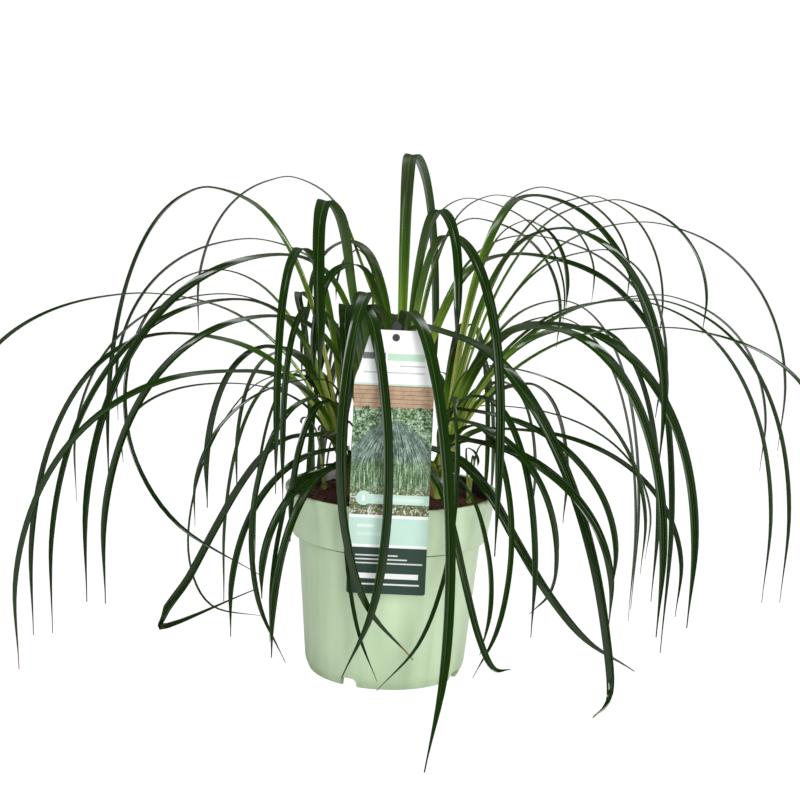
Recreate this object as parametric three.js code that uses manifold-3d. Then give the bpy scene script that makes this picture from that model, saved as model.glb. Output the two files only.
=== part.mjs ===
// Carex sedge in its nursery pot: an evergreen tuft of keeled, arching grass-like leaves in four
// tall shoots and two young ones, with the soil, a hang label and the stake that carries the label.
// Millimetres, +Z up. The origin is the middle of the pot's foot, on the surface it stands on,
// and the front of the plant, where the label hangs, faces -Y.

import * as THREE from 'three';
import { mergeVertices } from 'three/addons/utils/BufferGeometryUtils.js';
import Module from 'manifold-3d';

const wasm = await Module();
wasm.setup();

// ---------------------------------------------------------------- driving dimensions

const GAP = 0.3; // between pieces that touch

const RIM_RADIUS = 95; // outside of the pot's lip
const POT_HEIGHT = 167;
const LIP = 3.5; // height of the lip's flat band
const COLLAR_TOP_RADIUS = 93.5;
const COLLAR_FOOT_RADIUS = 87.5;
const COLLAR_FOOT = 125; // height where the collar steps in to the body
const BODY_TOP_RADIUS = 82;
const BODY_FOOT_RADIUS = 72.5;
const BODY_FOOT = 15; // height where the side rounds into the foot
const FOOT_RADIUS = 68;
const FLOOR = 9; // underside of the pot's floor, in the ring where the drain holes are
const SEAT_RADIUS = 24; // the floor's middle, which dips to the ground
const WALL = 1.8;
const POT_SIDES = 32; // of the pot and of the soil in it
const NOTCH_WIDTH = 15;
const NOTCH_ANGLES = [-116, -26, 64, 154];
const DRAIN_RADIUS = 4;
const DRAIN_RING = 38;
const DRAIN_COUNT = 6;
const DRAIN_SIDES = 6;

const SOIL_TOP = 154;
const SOIL_RINGS = 5;
const SOIL_SWELL = 2.4; // how far the surface rises and falls

const LABEL = {
  x: -1,
  back: -97.2, // its rear face hangs clear of the lip
  top: 321,
  height: 226,
  width: 67,
  headWidth: 38,
  shoulder: 41, // how far below the top the label reaches its full width
  corner: 2.5,
  thickness: 0.8,
  holeDrop: 6,
  holeRadius: 2.6,
};
const STAKE = {
  width: 8,
  thickness: 2.4,
  above: 7, // how far it stands above the label
  foot: 62,
  lean: 0.115, // leans back into the pot, per unit of height
  neck: 2.0,
  head: 3.1,
  headThickness: 0.9,
};

// Each shoot: where it stands, the sheath that its leaves leave from, and the outward leaves
// added at the back by a rule, which fan between the two angles.
const SHOOTS = {
  left: { at: [-42, 15], radius: 8.5, sheath: 46, extra: 5, fan: [100, 165] },
  middle: { at: [-18, 4], radius: 8, sheath: 42, extra: 3, fan: [95, 125] },
  centre: { at: [4, 36], radius: 9, sheath: 48, extra: 8, fan: [60, 120] },
  right: { at: [41, 20], radius: 8.5, sheath: 46, extra: 5, fan: [15, 80] },
  young_left: { at: [-62, 34], radius: 3.5, sheath: 9, extra: 0, fan: [0, 0] },
  young_right: { at: [70, 2], radius: 3.5, sheath: 9, extra: 0, fan: [0, 0] },
};
const SHEATH_SIDES = 12;
const SHEATH_DEPTH = 30; // how deep a shoot stands in the soil

const LEAF_THICKNESS = 1.2;
const LEAF_FOLD = 0.42; // how far the edges rise over the groove, against half the width
const LEAF_FACING = [44, 12, 62]; // degrees that foot, crest and tip turn their face to the front
const RISE_STEPS = 4;
const FALL_STEPS = 6;
const EXTRA_SEED = 19;
// Where the handles of a midrib's two curves lie, as shares of the way out and of the climb.
const COURSE = {
  footOut: 0.16,
  footUp: 0.56,
  crestBack: 0.52,
  crestOn: 0.66,
  tipOut: 0.12,
  tipUp: 0.6,
};
// A blade's width along it, as shares of its stated width, and its least half width.
const BLADE = { foot: 0.5, rise: 1.28, tip: 0.14, taperFrom: 0.84, finest: 0.75 };
const TURN_SPREAD = 70; // degrees within which the falling halves turn at random

// One row a leaf: its crest, its tip and its full width. roll leans the upper face to the front
// in degrees, bow is a point that the falling half is drawn out to, and fold is where a leaf
// that creases at its tip goes on to.
const LEAVES = [
  { shoot: 'left', crest: [-170, 40, 425], tip: [-265, 70, 135], width: 7, roll: 10 },
  { shoot: 'left', crest: [-170, 60, 350], tip: [-110, -40, 90], width: 6, roll: 20, bow: [-305, 40, 135] },
  { shoot: 'left', crest: [-215, 20, 330], tip: [-385, 0, 165], width: 6, roll: 10 },
  { shoot: 'left', crest: [-140, 0, 330], tip: [-295, -40, 30], width: 7, roll: 25 },
  { shoot: 'left', crest: [-150, 40, 330], tip: [-295, 70, 125], width: 5, roll: 10 },
  { shoot: 'left', crest: [-190, -20, 300], tip: [-320, 0, 15], width: 8, roll: 20 },
  { shoot: 'left', crest: [-135, -60, 275], tip: [-320, -60, 2], width: 9, roll: 30 },
  { shoot: 'left', crest: [-135, 60, 245], tip: [-255, 90, 160], width: 5, roll: 10 },
  { shoot: 'left', crest: [-90, 60, 260], tip: [-120, 135, 2], width: 5, roll: 20, bow: [-255, 100, -15] },
  { shoot: 'left', crest: [-70, -50, 270], tip: [-165, -90, 145], width: 5, roll: 10 },
  { shoot: 'left', crest: [-70, -60, 255], tip: [-85, -80, 25], width: 7, roll: 20, bow: [-145, -80, 115] },
  { shoot: 'left', crest: [-65, -20, 215], tip: [-215, 80, 2], width: 11, roll: 45,
    bow: [-150, 43, 120], fold: [-125, 55, 50] },
  { shoot: 'left', crest: [-50, -30, 205], tip: [-135, -60, 40], width: 8, roll: 30 },
  { shoot: 'left', crest: [-60, -50, 250], tip: [-85, -70, 130], width: 8, roll: 10 },
  { shoot: 'left', crest: [-85, -30, 380], tip: [-95, -130, 185], width: 9, roll: 0 },
  { shoot: 'left', crest: [-55, -20, 185], tip: [-105, -110, 90], width: 9, roll: 20 },
  { shoot: 'left', crest: [-50, -30, 190], tip: [-95, -115, 40], width: 9, roll: 20 },
  { shoot: 'left', crest: [-65, -10, 185], tip: [-100, -70, 40], width: 6, roll: 20 },
  { shoot: 'centre', crest: [-100, 90, 435], tip: [-190, 120, 285], width: 5, roll: 10 },
  { shoot: 'centre', crest: [-130, 110, 375], tip: [-270, 150, 190], width: 6, roll: 10 },
  { shoot: 'centre', crest: [-100, 10, 370], tip: [-265, -40, 60], width: 9, roll: 35 },
  { shoot: 'centre', crest: [5, 80, 460], tip: [35, 190, 195], width: 12, roll: 0 },
  { shoot: 'centre', crest: [-45, 60, 380], tip: [-90, 110, 245], width: 10, roll: 20 },
  { shoot: 'centre', crest: [-45, 0, 365], tip: [-70, -60, 275], width: 10, roll: 15 },
  { shoot: 'centre', crest: [30, 10, 415], tip: [50, -60, 305], width: 11, roll: 10 },
  { shoot: 'centre', crest: [40, -10, 395], tip: [90, -110, 135], width: 11, roll: 15 },
  { shoot: 'centre', crest: [60, 70, 405], tip: [150, 110, 285], width: 6, roll: 10 },
  { shoot: 'centre', crest: [110, 100, 390], tip: [260, 140, 195], width: 6, roll: 10 },
  { shoot: 'centre', crest: [100, 60, 375], tip: [245, 90, 225], width: 9, roll: 30 },
  { shoot: 'centre', crest: [55, 130, 420], tip: [160, 170, 295], width: 4, roll: 10 },
  { shoot: 'centre', crest: [80, 110, 425], tip: [185, 150, 325], width: 4, roll: 10 },
  { shoot: 'centre', crest: [-30, -90, 340], tip: [-35, -130, 30], width: 11, roll: 0, bow: [25, -130, 135] },
  { shoot: 'centre', crest: [10, -94, 336], tip: [35, -265, 2], width: 12, roll: 0, bow: [70, -160, 110] },
  { shoot: 'centre', crest: [25, -30, 315], tip: [200, -70, 2], width: 12, roll: 40,
    bow: [195, -60, 110], fold: [178, -128, 3] },
  { shoot: 'middle', crest: [-105, -30, 320], tip: [-245, -60, 65], width: 9, roll: 30 },
  { shoot: 'middle', crest: [-75, -40, 330], tip: [-90, -110, 175], width: 7, roll: 15 },
  { shoot: 'middle', crest: [-90, 80, 330], tip: [-75, 150, 55], width: 8, roll: 0 },
  { shoot: 'middle', crest: [-65, -10, 420], tip: [-65, -70, 270], width: 14, roll: 0 },
  { shoot: 'middle', crest: [-40, 90, 370], tip: [-60, 110, 320], width: 4, roll: 0 },
  { shoot: 'middle', crest: [-45, -10, 330], tip: [-40, -60, 235], width: 14, roll: 0 },
  { shoot: 'middle', crest: [-25, -90, 350], tip: [25, -120, 45], width: 11, roll: 0, bow: [-75, -130, 115] },
  { shoot: 'middle', crest: [-40, -60, 235], tip: [-5, -120, 25], width: 5, roll: 0, bow: [-45, -120, 95] },
  { shoot: 'right', crest: [115, 40, 430], tip: [260, 60, 5], width: 9, roll: 35 },
  { shoot: 'right', crest: [120, 90, 435], tip: [215, 120, 330], width: 5, roll: 10 },
  { shoot: 'right', crest: [165, 70, 430], tip: [245, 100, 295], width: 5, roll: 10 },
  { shoot: 'right', crest: [180, 20, 430], tip: [270, 10, 315], width: 5, roll: 5 },
  { shoot: 'right', crest: [210, 50, 410], tip: [360, 80, 200], width: 5, roll: 5 },
  { shoot: 'right', crest: [230, 90, 340], tip: [355, 130, 170], width: 5, roll: 5 },
  { shoot: 'right', crest: [200, -10, 345], tip: [335, -20, 80], width: 6, roll: 20 },
  { shoot: 'right', crest: [215, 10, 345], tip: [360, 20, 70], width: 6, roll: 20 },
  { shoot: 'right', crest: [230, -30, 325], tip: [365, -50, 210], width: 6, roll: 15 },
  { shoot: 'right', crest: [125, -30, 320], tip: [240, -40, 50], width: 11, roll: 40 },
  { shoot: 'right', crest: [130, 0, 320], tip: [275, 10, 45], width: 11, roll: 35 },
  { shoot: 'right', crest: [85, -60, 290], tip: [215, -90, 120], width: 5, roll: 15 },
  { shoot: 'right', crest: [85, 30, 240], tip: [240, 60, 95], width: 4, roll: 15 },
  { shoot: 'right', crest: [60, -30, 245], tip: [195, -60, 90], width: 8, roll: 30 },
  { shoot: 'right', crest: [95, 50, 215], tip: [275, 80, 35], width: 7, roll: 25 },
  { shoot: 'right', crest: [65, -40, 220], tip: [190, -100, 75], width: 10, roll: 40 },
  { shoot: 'right', crest: [60, -60, 240], tip: [140, -110, 110], width: 8, roll: 25 },
  { shoot: 'right', crest: [75, -50, 260], tip: [125, -90, 60], width: 8, roll: 20 },
  { shoot: 'right', crest: [75, -60, 235], tip: [75, -130, 35], width: 7, roll: 20, bow: [120, -130, 105] },
  { shoot: 'right', crest: [75, -20, 215], tip: [130, 0, 55], width: 6, roll: 20, bow: [175, 0, 80] },
  { shoot: 'right', crest: [145, 60, 335], tip: [235, 100, 35], width: 6, roll: 20 },
  { shoot: 'right', crest: [170, 30, 315], tip: [245, 40, 60], width: 8, roll: 30 },
  { shoot: 'right', crest: [105, 0, 410], tip: [145, -20, 335], width: 5, roll: 15 },
  { shoot: 'right', crest: [135, -10, 405], tip: [235, -20, 195], width: 8, roll: 25 },
  { shoot: 'right', crest: [175, 30, 385], tip: [245, 50, 230], width: 5, roll: 10 },
  { shoot: 'right', crest: [30, -30, 210], tip: [230, 10, 2], width: 11, roll: 40, bow: [120, -75, 70] },
  { shoot: 'right', crest: [30, -70, 200], tip: [105, -150, 50], width: 8, roll: 10, bow: [75, -150, 20] },
  { shoot: 'right', crest: [50, -60, 195], tip: [80, -130, 55], width: 6, roll: 15, bow: [100, -130, 120] },
  { shoot: 'right', crest: [50, -60, 260], tip: [-5, -130, 20], width: 6, roll: 10, bow: [75, -130, 85] },
  { shoot: 'young_left', crest: [-80, 30, 222], tip: [-84, 28, 216], width: 4, roll: 0 },
  { shoot: 'young_left', crest: [-66, 36, 214], tip: [-68, 34, 208], width: 3.5, roll: 0 },
  { shoot: 'young_left', crest: [-54, 44, 202], tip: [-52, 48, 197], width: 3, roll: 0 },
  { shoot: 'young_right', crest: [66, -2, 206], tip: [76, -6, 190], width: 4, roll: 0 },
  { shoot: 'young_right', crest: [80, 8, 208], tip: [86, 11, 198], width: 3.5, roll: 0 },
  { shoot: 'young_right', crest: [72, 14, 196], tip: [73, 19, 190], width: 3, roll: 0 },
];

// ---------------------------------------------------------------- meshes and solids

function solid(geometry) {
  const bare = geometry.clone();
  bare.deleteAttribute('normal');
  bare.deleteAttribute('uv');
  const merged = mergeVertices(bare, 1e-4);
  return new wasm.Manifold(new wasm.Mesh({
    numProp: 3,
    vertProperties: new Float32Array(merged.attributes.position.array),
    triVerts: new Uint32Array(merged.index.array),
  }));
}

function geometryOf(manifold) {
  const mesh = manifold.getMesh();
  const geometry = new THREE.BufferGeometry();
  geometry.setAttribute('position', new THREE.BufferAttribute(Float32Array.from(mesh.vertProperties), 3));
  geometry.setIndex(Array.from(mesh.triVerts));
  geometry.computeVertexNormals();
  return geometry;
}

// The largest closed body, without loose scraps and without the hollows that joining sealed.
function wholeBody(manifold) {
  const bodies = manifold.decompose();
  bodies.sort((a, b) => b.volume() - a.volume());
  return bodies[0];
}

function join(solids) {
  return solids.reduce((sum, piece) => sum.add(piece));
}

// A solid of revolution about +Z from [radius, height] points that start and end on the axis.
function turned(points, sides) {
  const profile = points.map(([radius, height]) => new THREE.Vector2(radius, height));
  const geometry = new THREE.LatheGeometry(profile, sides);
  geometry.rotateX(Math.PI / 2);
  return solid(geometry);
}

function cylinder(radius, from, to, sides, x = 0, y = 0) {
  return turned([[0, from], [radius, from], [radius, to], [0, to]], sides).translate([x, y, 0]);
}

function box(sizes, centre) {
  const geometry = new THREE.BoxGeometry(...sizes);
  geometry.translate(...centre);
  return solid(geometry);
}

const radians = THREE.MathUtils.degToRad;

// ---------------------------------------------------------------- pot

function potSection() {
  const outside = [
    [FOOT_RADIUS, 0],
    [BODY_FOOT_RADIUS - 0.6, 9],
    [BODY_FOOT_RADIUS, BODY_FOOT],
    [BODY_TOP_RADIUS, COLLAR_FOOT - 1],
    [COLLAR_FOOT_RADIUS, COLLAR_FOOT],
    [COLLAR_TOP_RADIUS, POT_HEIGHT - LIP - 1],
    [RIM_RADIUS, POT_HEIGHT - LIP],
    [RIM_RADIUS, POT_HEIGHT],
  ];
  const inside = [
    [COLLAR_TOP_RADIUS - WALL, POT_HEIGHT],
    [COLLAR_FOOT_RADIUS - WALL, COLLAR_FOOT + 2],
    [BODY_TOP_RADIUS - WALL, COLLAR_FOOT - 4],
    [BODY_FOOT_RADIUS - WALL, BODY_FOOT],
    [BODY_FOOT_RADIUS - WALL - 1.4, FLOOR + WALL],
    [SEAT_RADIUS + 2 - WALL, FLOOR + WALL],
    [SEAT_RADIUS - WALL, WALL],
    [0, WALL],
  ];
  const under = [
    [0, 0],
    [SEAT_RADIUS, 0],
    [SEAT_RADIUS + 2, FLOOR],
    [FOOT_RADIUS - 4.5, FLOOR],
    [FOOT_RADIUS - 3.5, 0],
  ];
  return [...under, ...outside, ...inside];
}

// The inside radius at a height above the floor's edge, for what fills the pot.
function insideRadius(height) {
  const line = (low, high, from, to) => low + (high - low) * (height - from) / (to - from);
  if (height > COLLAR_FOOT + 2) {
    return line(COLLAR_FOOT_RADIUS, COLLAR_TOP_RADIUS, COLLAR_FOOT + 2, POT_HEIGHT) - WALL;
  }
  return line(BODY_FOOT_RADIUS, BODY_TOP_RADIUS, BODY_FOOT, COLLAR_FOOT - 4) - WALL;
}

function makePot() {
  let pot = turned(potSection(), POT_SIDES);
  for (const angle of NOTCH_ANGLES) {
    const notch = box([30, NOTCH_WIDTH, 2 * FLOOR], [FOOT_RADIUS, 0, 0]);
    pot = pot.subtract(notch.rotate([0, 0, angle]));
  }
  for (let i = 0; i < DRAIN_COUNT; i += 1) {
    const angle = radians(360 * i / DRAIN_COUNT + 20);
    const x = DRAIN_RING * Math.cos(angle);
    const y = DRAIN_RING * Math.sin(angle);
    pot = pot.subtract(cylinder(DRAIN_RADIUS, 0, 2 * FLOOR, DRAIN_SIDES, x, y));
  }
  return pot;
}

// ---------------------------------------------------------------- soil

// The surface rises and falls in slow waves.
function soilHeight(x, y) {
  const waves = Math.sin(x / 17 + 1.3) * Math.cos(y / 21 - 0.4) + 0.6 * Math.sin((x + y) / 11);
  return SOIL_TOP + SOIL_SWELL * waves / 1.6;
}

function soilHole(name) {
  const shoot = SHOOTS[name];
  const floor = SOIL_TOP - SHEATH_DEPTH - GAP;
  return cylinder(shoot.radius + GAP, floor, SOIL_TOP + 20, SHEATH_SIDES, ...shoot.at);
}

function makeSoil() {
  const edge = insideRadius(SOIL_TOP) - GAP;
  const floor = FLOOR + WALL + GAP;
  const section = [
    [0, WALL + GAP],
    [SEAT_RADIUS - WALL - GAP, WALL + GAP],
    [SEAT_RADIUS + 2 - WALL - GAP, floor],
    [BODY_FOOT_RADIUS - WALL - 1.4 - 2 * GAP, floor],
    [insideRadius(BODY_FOOT) - GAP, BODY_FOOT],
    [insideRadius(COLLAR_FOOT - 4) - GAP, COLLAR_FOOT - 4],
    [insideRadius(COLLAR_FOOT + 2.1) - 2 * GAP, COLLAR_FOOT + 2],
    [edge - GAP, SOIL_TOP],
  ];
  for (let ring = SOIL_RINGS - 1; ring >= 0; ring -= 1) {
    section.push([edge * ring / SOIL_RINGS, SOIL_TOP]);
  }
  const profile = section.map(([radius, height]) => new THREE.Vector2(radius, height));
  const geometry = new THREE.LatheGeometry(profile, POT_SIDES);
  geometry.rotateX(Math.PI / 2);
  const position = geometry.attributes.position;
  for (let i = 0; i < position.count; i += 1) {
    const x = position.getX(i);
    const y = position.getY(i);
    const onTop = position.getZ(i) > SOIL_TOP - 0.01 && Math.hypot(x, y) < edge - 2 * GAP;
    if (onTop) {
      position.setZ(i, soilHeight(x, y));
    }
  }
  let soil = solid(geometry);
  for (const name of Object.keys(SHOOTS)) {
    soil = soil.subtract(soilHole(name));
  }
  return soil.subtract(makeStake(GAP));
}

// ---------------------------------------------------------------- label and stake

function labelOutline() {
  const { width, headWidth, height, shoulder, corner } = LABEL;
  const half = width / 2;
  const head = headWidth / 2;
  const outline = new THREE.Shape();
  outline.moveTo(-half + corner, -height);
  outline.lineTo(half - corner, -height);
  outline.quadraticCurveTo(half, -height, half, -height + corner);
  outline.lineTo(half, -shoulder - 6);
  outline.quadraticCurveTo(half, -shoulder, half - 3.5, -shoulder + 8);
  outline.lineTo(head + corner, -corner);
  outline.quadraticCurveTo(head + 0.5, 0, head - corner, 0);
  outline.lineTo(-head + corner, 0);
  outline.quadraticCurveTo(-head - 0.5, 0, -head - corner, -corner);
  outline.lineTo(-half + 3.5, -shoulder + 8);
  outline.quadraticCurveTo(-half, -shoulder, -half, -shoulder - 6);
  outline.lineTo(-half, -height + corner);
  outline.quadraticCurveTo(-half, -height, -half + corner, -height);
  const hole = new THREE.Path();
  hole.absarc(0, -LABEL.holeDrop, LABEL.holeRadius, 0, 2 * Math.PI, true);
  outline.holes.push(hole);
  return outline;
}

function makeLabel() {
  const settings = { depth: LABEL.thickness, bevelEnabled: false, curveSegments: 6 };
  const geometry = new THREE.ExtrudeGeometry(labelOutline(), settings);
  geometry.rotateX(Math.PI / 2);
  geometry.translate(LABEL.x, LABEL.back, LABEL.top);
  return solid(geometry);
}

// The middle of the stake's thickness at a height: it leans back into the soil, and its front
// touches the label's back only at the label's top edge.
function stakeMiddle(height) {
  return LABEL.back + GAP + STAKE.thickness / 2 + STAKE.lean * (LABEL.top - height);
}

// A flat pointed stake with a round top, whose knob goes through the label's hole and holds it.
// play widens it all round, for the hole that it stands in.
function makeStake(play = 0) {
  const { width, thickness, above, foot, lean, neck, head, headThickness } = STAKE;
  const half = width / 2 + play;
  const crown = LABEL.top + above - width / 2;
  const blade = new THREE.Shape();
  blade.moveTo(-half, 0);
  blade.lineTo(-half, foot + 14 - crown);
  blade.lineTo(0, foot - play - crown);
  blade.lineTo(half, foot + 14 - crown);
  blade.lineTo(half, 0);
  blade.absarc(0, 0, half, 0, Math.PI, false);
  const depth = thickness + 2 * play;
  const geometry = new THREE.ExtrudeGeometry(blade, { depth, bevelEnabled: false, curveSegments: 10 });
  geometry.translate(0, 0, -depth / 2);
  geometry.rotateX(Math.PI / 2 + Math.atan(lean));
  geometry.translate(LABEL.x, stakeMiddle(crown), crown);
  if (play > 0) {
    return solid(geometry);
  }
  const height = LABEL.top - LABEL.holeDrop;
  const pin = (radius, back, front) => {
    const rod = new THREE.CylinderGeometry(radius, radius, back - front, 12);
    rod.translate(LABEL.x, (back + front) / 2, height);
    return solid(rod);
  };
  const face = LABEL.back - LABEL.thickness - GAP;
  const through = pin(neck, stakeMiddle(height), face - headThickness / 2);
  return join([solid(geometry), through, pin(head, face, face - headThickness)]);
}

// ---------------------------------------------------------------- leaves

// A repeatable run of numbers between 0 and 1.
function draws(seed) {
  let state = seed;
  return () => {
    state = (state * 16807) % 2147483647;
    return state / 2147483647;
  };
}

// Leaves that fill the back of each shoot, between the two angles of its fan.
function extraLeaves() {
  const draw = draws(EXTRA_SEED);
  const rows = [];
  for (const [shoot, { at, extra, fan }] of Object.entries(SHOOTS)) {
    for (let i = 0; i < extra; i += 1) {
      const angle = radians(fan[0] + (fan[1] - fan[0]) * (i + draw()) / extra);
      const reach = 55 + 55 * draw();
      const fall = reach + 40 + 70 * draw();
      const point = (distance, height) => [
        at[0] + distance * Math.cos(angle),
        at[1] + distance * Math.sin(angle),
        height,
      ];
      rows.push({
        shoot,
        crest: point(reach, 250 + 70 * draw()),
        tip: point(fall, 20 + 110 * draw()),
        width: 5 + 6 * draw(),
        roll: 30 * draw(),
      });
    }
  }
  return rows;
}

function bezier(a, b, c, d, t) {
  return new THREE.CubicBezierCurve3(a, b, c, d).getPoint(t);
}

const flat = (vector) => new THREE.Vector3(vector.x, vector.y, 0);
const UP = new THREE.Vector3(0, 0, 1);

// The line of a leaf's midrib: up from inside the sheath to the crest, then over and down.
function midrib({ shoot, crest, tip, bow, fold }) {
  const [x, y] = SHOOTS[shoot].at;
  const foot = new THREE.Vector3(x, y, SOIL_TOP + 0.55 * SHOOTS[shoot].sheath);
  const top = new THREE.Vector3(...crest);
  const end = new THREE.Vector3(...tip);
  const outward = flat(end).sub(flat(foot)).normalize();
  const toCrest = flat(top).sub(flat(foot));
  const start = foot.clone().addScaledVector(toCrest.clone().normalize(), 0.35 * SHOOTS[shoot].radius);
  const climb = top.z - start.z;
  const lower = start.clone().addScaledVector(toCrest, COURSE.footOut);
  lower.addScaledVector(UP, COURSE.footUp * climb);
  const before = top.clone().addScaledVector(outward, -COURSE.crestBack * toCrest.length());
  const points = [];
  for (let i = 0; i <= RISE_STEPS; i += 1) {
    points.push(bezier(start, lower, before, top, i / RISE_STEPS));
  }
  const pull = bow ? new THREE.Vector3(...bow) : end;
  const away = flat(pull).sub(flat(top));
  const heading = away.clone().normalize().add(outward).normalize();
  const beyond = top.clone().addScaledVector(heading, COURSE.crestOn * away.length());
  const above = pull.clone();
  if (!bow) {
    above.addScaledVector(outward, COURSE.tipOut * away.length());
    above.addScaledVector(UP, COURSE.tipUp * (top.z - end.z));
  }
  for (let i = 1; i <= FALL_STEPS; i += 1) {
    points.push(bezier(top, beyond, above, end, i / FALL_STEPS));
  }
  if (fold) {
    points.push(new THREE.Vector3(...fold));
  }
  return points;
}

// Narrow in the sheath, broadest on the way up, its stated width from beyond the crest, and then
// tapering to a fine point.
function halfWidth(width, along) {
  const { smoothstep } = THREE.MathUtils;
  const foot = 1 - (1 - BLADE.foot) * (1 - smoothstep(along, 0, 0.25));
  const rise = BLADE.rise - (BLADE.rise - 1) * smoothstep(along, 0.1, 0.55);
  const taper = 1 - (1 - BLADE.tip) * smoothstep(along, BLADE.taperFrom, 1) ** 1.6;
  return Math.max(width / 2 * foot * rise * taper, BLADE.finest);
}

// Directions along and across the blade at each point of the midrib. The blade lies level
// across at its crest, leaning roll degrees to the front, and turns slowly on the way down.
function bladeFrames(points, roll, turn) {
  const along = points.map((point, i) => {
    const next = points[Math.min(i + 1, points.length - 1)];
    return next.clone().sub(points[Math.max(i - 1, 0)]).normalize();
  });
  const across = [];
  across[RISE_STEPS] = UP.clone().cross(along[RISE_STEPS]).normalize();
  const carry = (from, to) => {
    const side = across[from].clone();
    across[to] = side.addScaledVector(along[to], -side.dot(along[to])).normalize();
  };
  for (let i = RISE_STEPS; i > 0; i -= 1) {
    carry(i, i - 1);
  }
  for (let i = RISE_STEPS; i < points.length - 1; i += 1) {
    carry(i, i + 1);
  }
  const sideways = along[RISE_STEPS].x;
  const [foot, crest, tip] = LEAF_FACING;
  across.forEach((side, i) => {
    const fall = Math.max(0, i - RISE_STEPS) / (points.length - 1 - RISE_STEPS);
    const rise = Math.max(0, RISE_STEPS - i) / RISE_STEPS;
    const facing = roll + crest + (foot - crest) * rise + (tip - crest) * fall;
    side.applyAxisAngle(along[i], radians(facing * sideways + turn * fall));
  });
  return { along, across };
}

function layOutLeaves() {
  const draw = draws(EXTRA_SEED + 1);
  return [...LEAVES, ...extraLeaves()].map((row) => {
    const points = midrib(row);
    const { along, across } = bladeFrames(points, row.roll, TURN_SPREAD * (draw() - 0.5));
    const half = points.map((point, i) => halfWidth(row.width, i / (points.length - 1)));
    return { shoot: row.shoot, points, along, across, half };
  });
}

// ---------------------------------------------------------------- leaves bent clear

const SETTLE_ROUNDS = 70;
const CLEAR = 1.4; // room kept between blades of different shoots
const RIM_CLEAR = 1.5;
const LABEL_CLEAR = 3;
const GROUND_CLEAR = 1.2;
const YIELD = 0.3; // share of a crossing that each of two blades gives way by in a round
const FIRM = 0.6; // the same for a blade against what stays put

// The nearest points of two straight stretches, as shares s and t of each.
function nearest(p, u, q, v) {
  const wx = p.x - q.x;
  const wy = p.y - q.y;
  const wz = p.z - q.z;
  const a = u.dot(u);
  const b = u.dot(v);
  const c = v.dot(v);
  const d = u.x * wx + u.y * wy + u.z * wz;
  const e = v.x * wx + v.y * wy + v.z * wz;
  const clamp = (value) => Math.min(1, Math.max(0, value));
  const spread = a * c - b * b;
  let s = spread > 1e-9 ? clamp((b * e - c * d) / spread) : 0.5;
  const t = clamp((b * s + e) / c);
  s = clamp((b * t - d) / a);
  return [s, t];
}

// How far a blade reaches to one side of its midrib in the direction n.
function reachOf(leaf, i, n) {
  const half = Math.max(leaf.half[i], leaf.half[i + 1]);
  const side = Math.abs(leaf.across[i].dot(n));
  return half * Math.max(0.3, side) + LEAF_THICKNESS / 2;
}

// Moves the stretch from point i to i + 1, most at share s of it; the foot stays where it is.
function push(moves, i, s, n, distance) {
  const weights = [[i - 1, 0.4 * (1 - s)], [i, 1 - s], [i + 1, s], [i + 2, 0.4 * s]];
  for (const [at, weight] of weights) {
    if (at > 0 && at < moves.length) {
      moves[at].addScaledVector(n, distance * weight);
    }
  }
}

function pushApart(a, b, movesA, movesB) {
  const between = new THREE.Vector3();
  for (let i = 0; i < a.points.length - 1; i += 1) {
    const u = a.points[i + 1].clone().sub(a.points[i]);
    for (let j = 0; j < b.points.length - 1; j += 1) {
      const v = b.points[j + 1].clone().sub(b.points[j]);
      between.copy(a.points[i]).sub(b.points[j]).addScaledVector(u, 0.5).addScaledVector(v, -0.5);
      if (between.length() > (u.length() + v.length()) / 2 + 16) {
        continue;
      }
      const [s, t] = nearest(a.points[i], u, b.points[j], v);
      between.copy(a.points[i]).addScaledVector(u, s).sub(b.points[j]).addScaledVector(v, -t);
      let distance = between.length();
      if (distance < 0.05) {
        between.copy(u).cross(v).normalize();
        distance = 0;
      } else {
        between.divideScalar(distance);
      }
      const room = reachOf(a, i, between) + reachOf(b, j, between) + CLEAR - distance;
      if (room > 0) {
        push(movesA, i, s, between, YIELD * room);
        push(movesB, j, t, between, -YIELD * room);
      }
    }
  }
}

// What stays put and is kept clear of: the sheaths of the other shoots and the stake.
function posts() {
  const list = Object.entries(SHOOTS).map(([shoot, { at, radius, sheath }]) => ({
    shoot,
    radius,
    from: new THREE.Vector3(...at, SOIL_TOP - 5),
    to: new THREE.Vector3(...at, SOIL_TOP + sheath + 4),
  }));
  const stakeTop = LABEL.top + STAKE.above;
  list.push({
    shoot: 'stake',
    radius: STAKE.width / 2 + 0.8,
    from: new THREE.Vector3(LABEL.x, stakeMiddle(SOIL_TOP), SOIL_TOP),
    to: new THREE.Vector3(LABEL.x, stakeMiddle(stakeTop), stakeTop),
  });
  return list;
}

function clearPosts(leaf, moves, list) {
  const between = new THREE.Vector3();
  for (const post of list) {
    if (post.shoot === leaf.shoot) {
      continue;
    }
    const v = post.to.clone().sub(post.from);
    for (let i = 0; i < leaf.points.length - 1; i += 1) {
      const u = leaf.points[i + 1].clone().sub(leaf.points[i]);
      const [s, t] = nearest(leaf.points[i], u, post.from, v);
      between.copy(leaf.points[i]).addScaledVector(u, s).sub(post.from).addScaledVector(v, -t);
      const distance = Math.max(between.length(), 0.05);
      between.divideScalar(distance);
      const room = reachOf(leaf, i, between) + post.radius + CLEAR - distance;
      if (room > 0) {
        push(moves, i, s, between, FIRM * room);
      }
    }
  }
}

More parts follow.
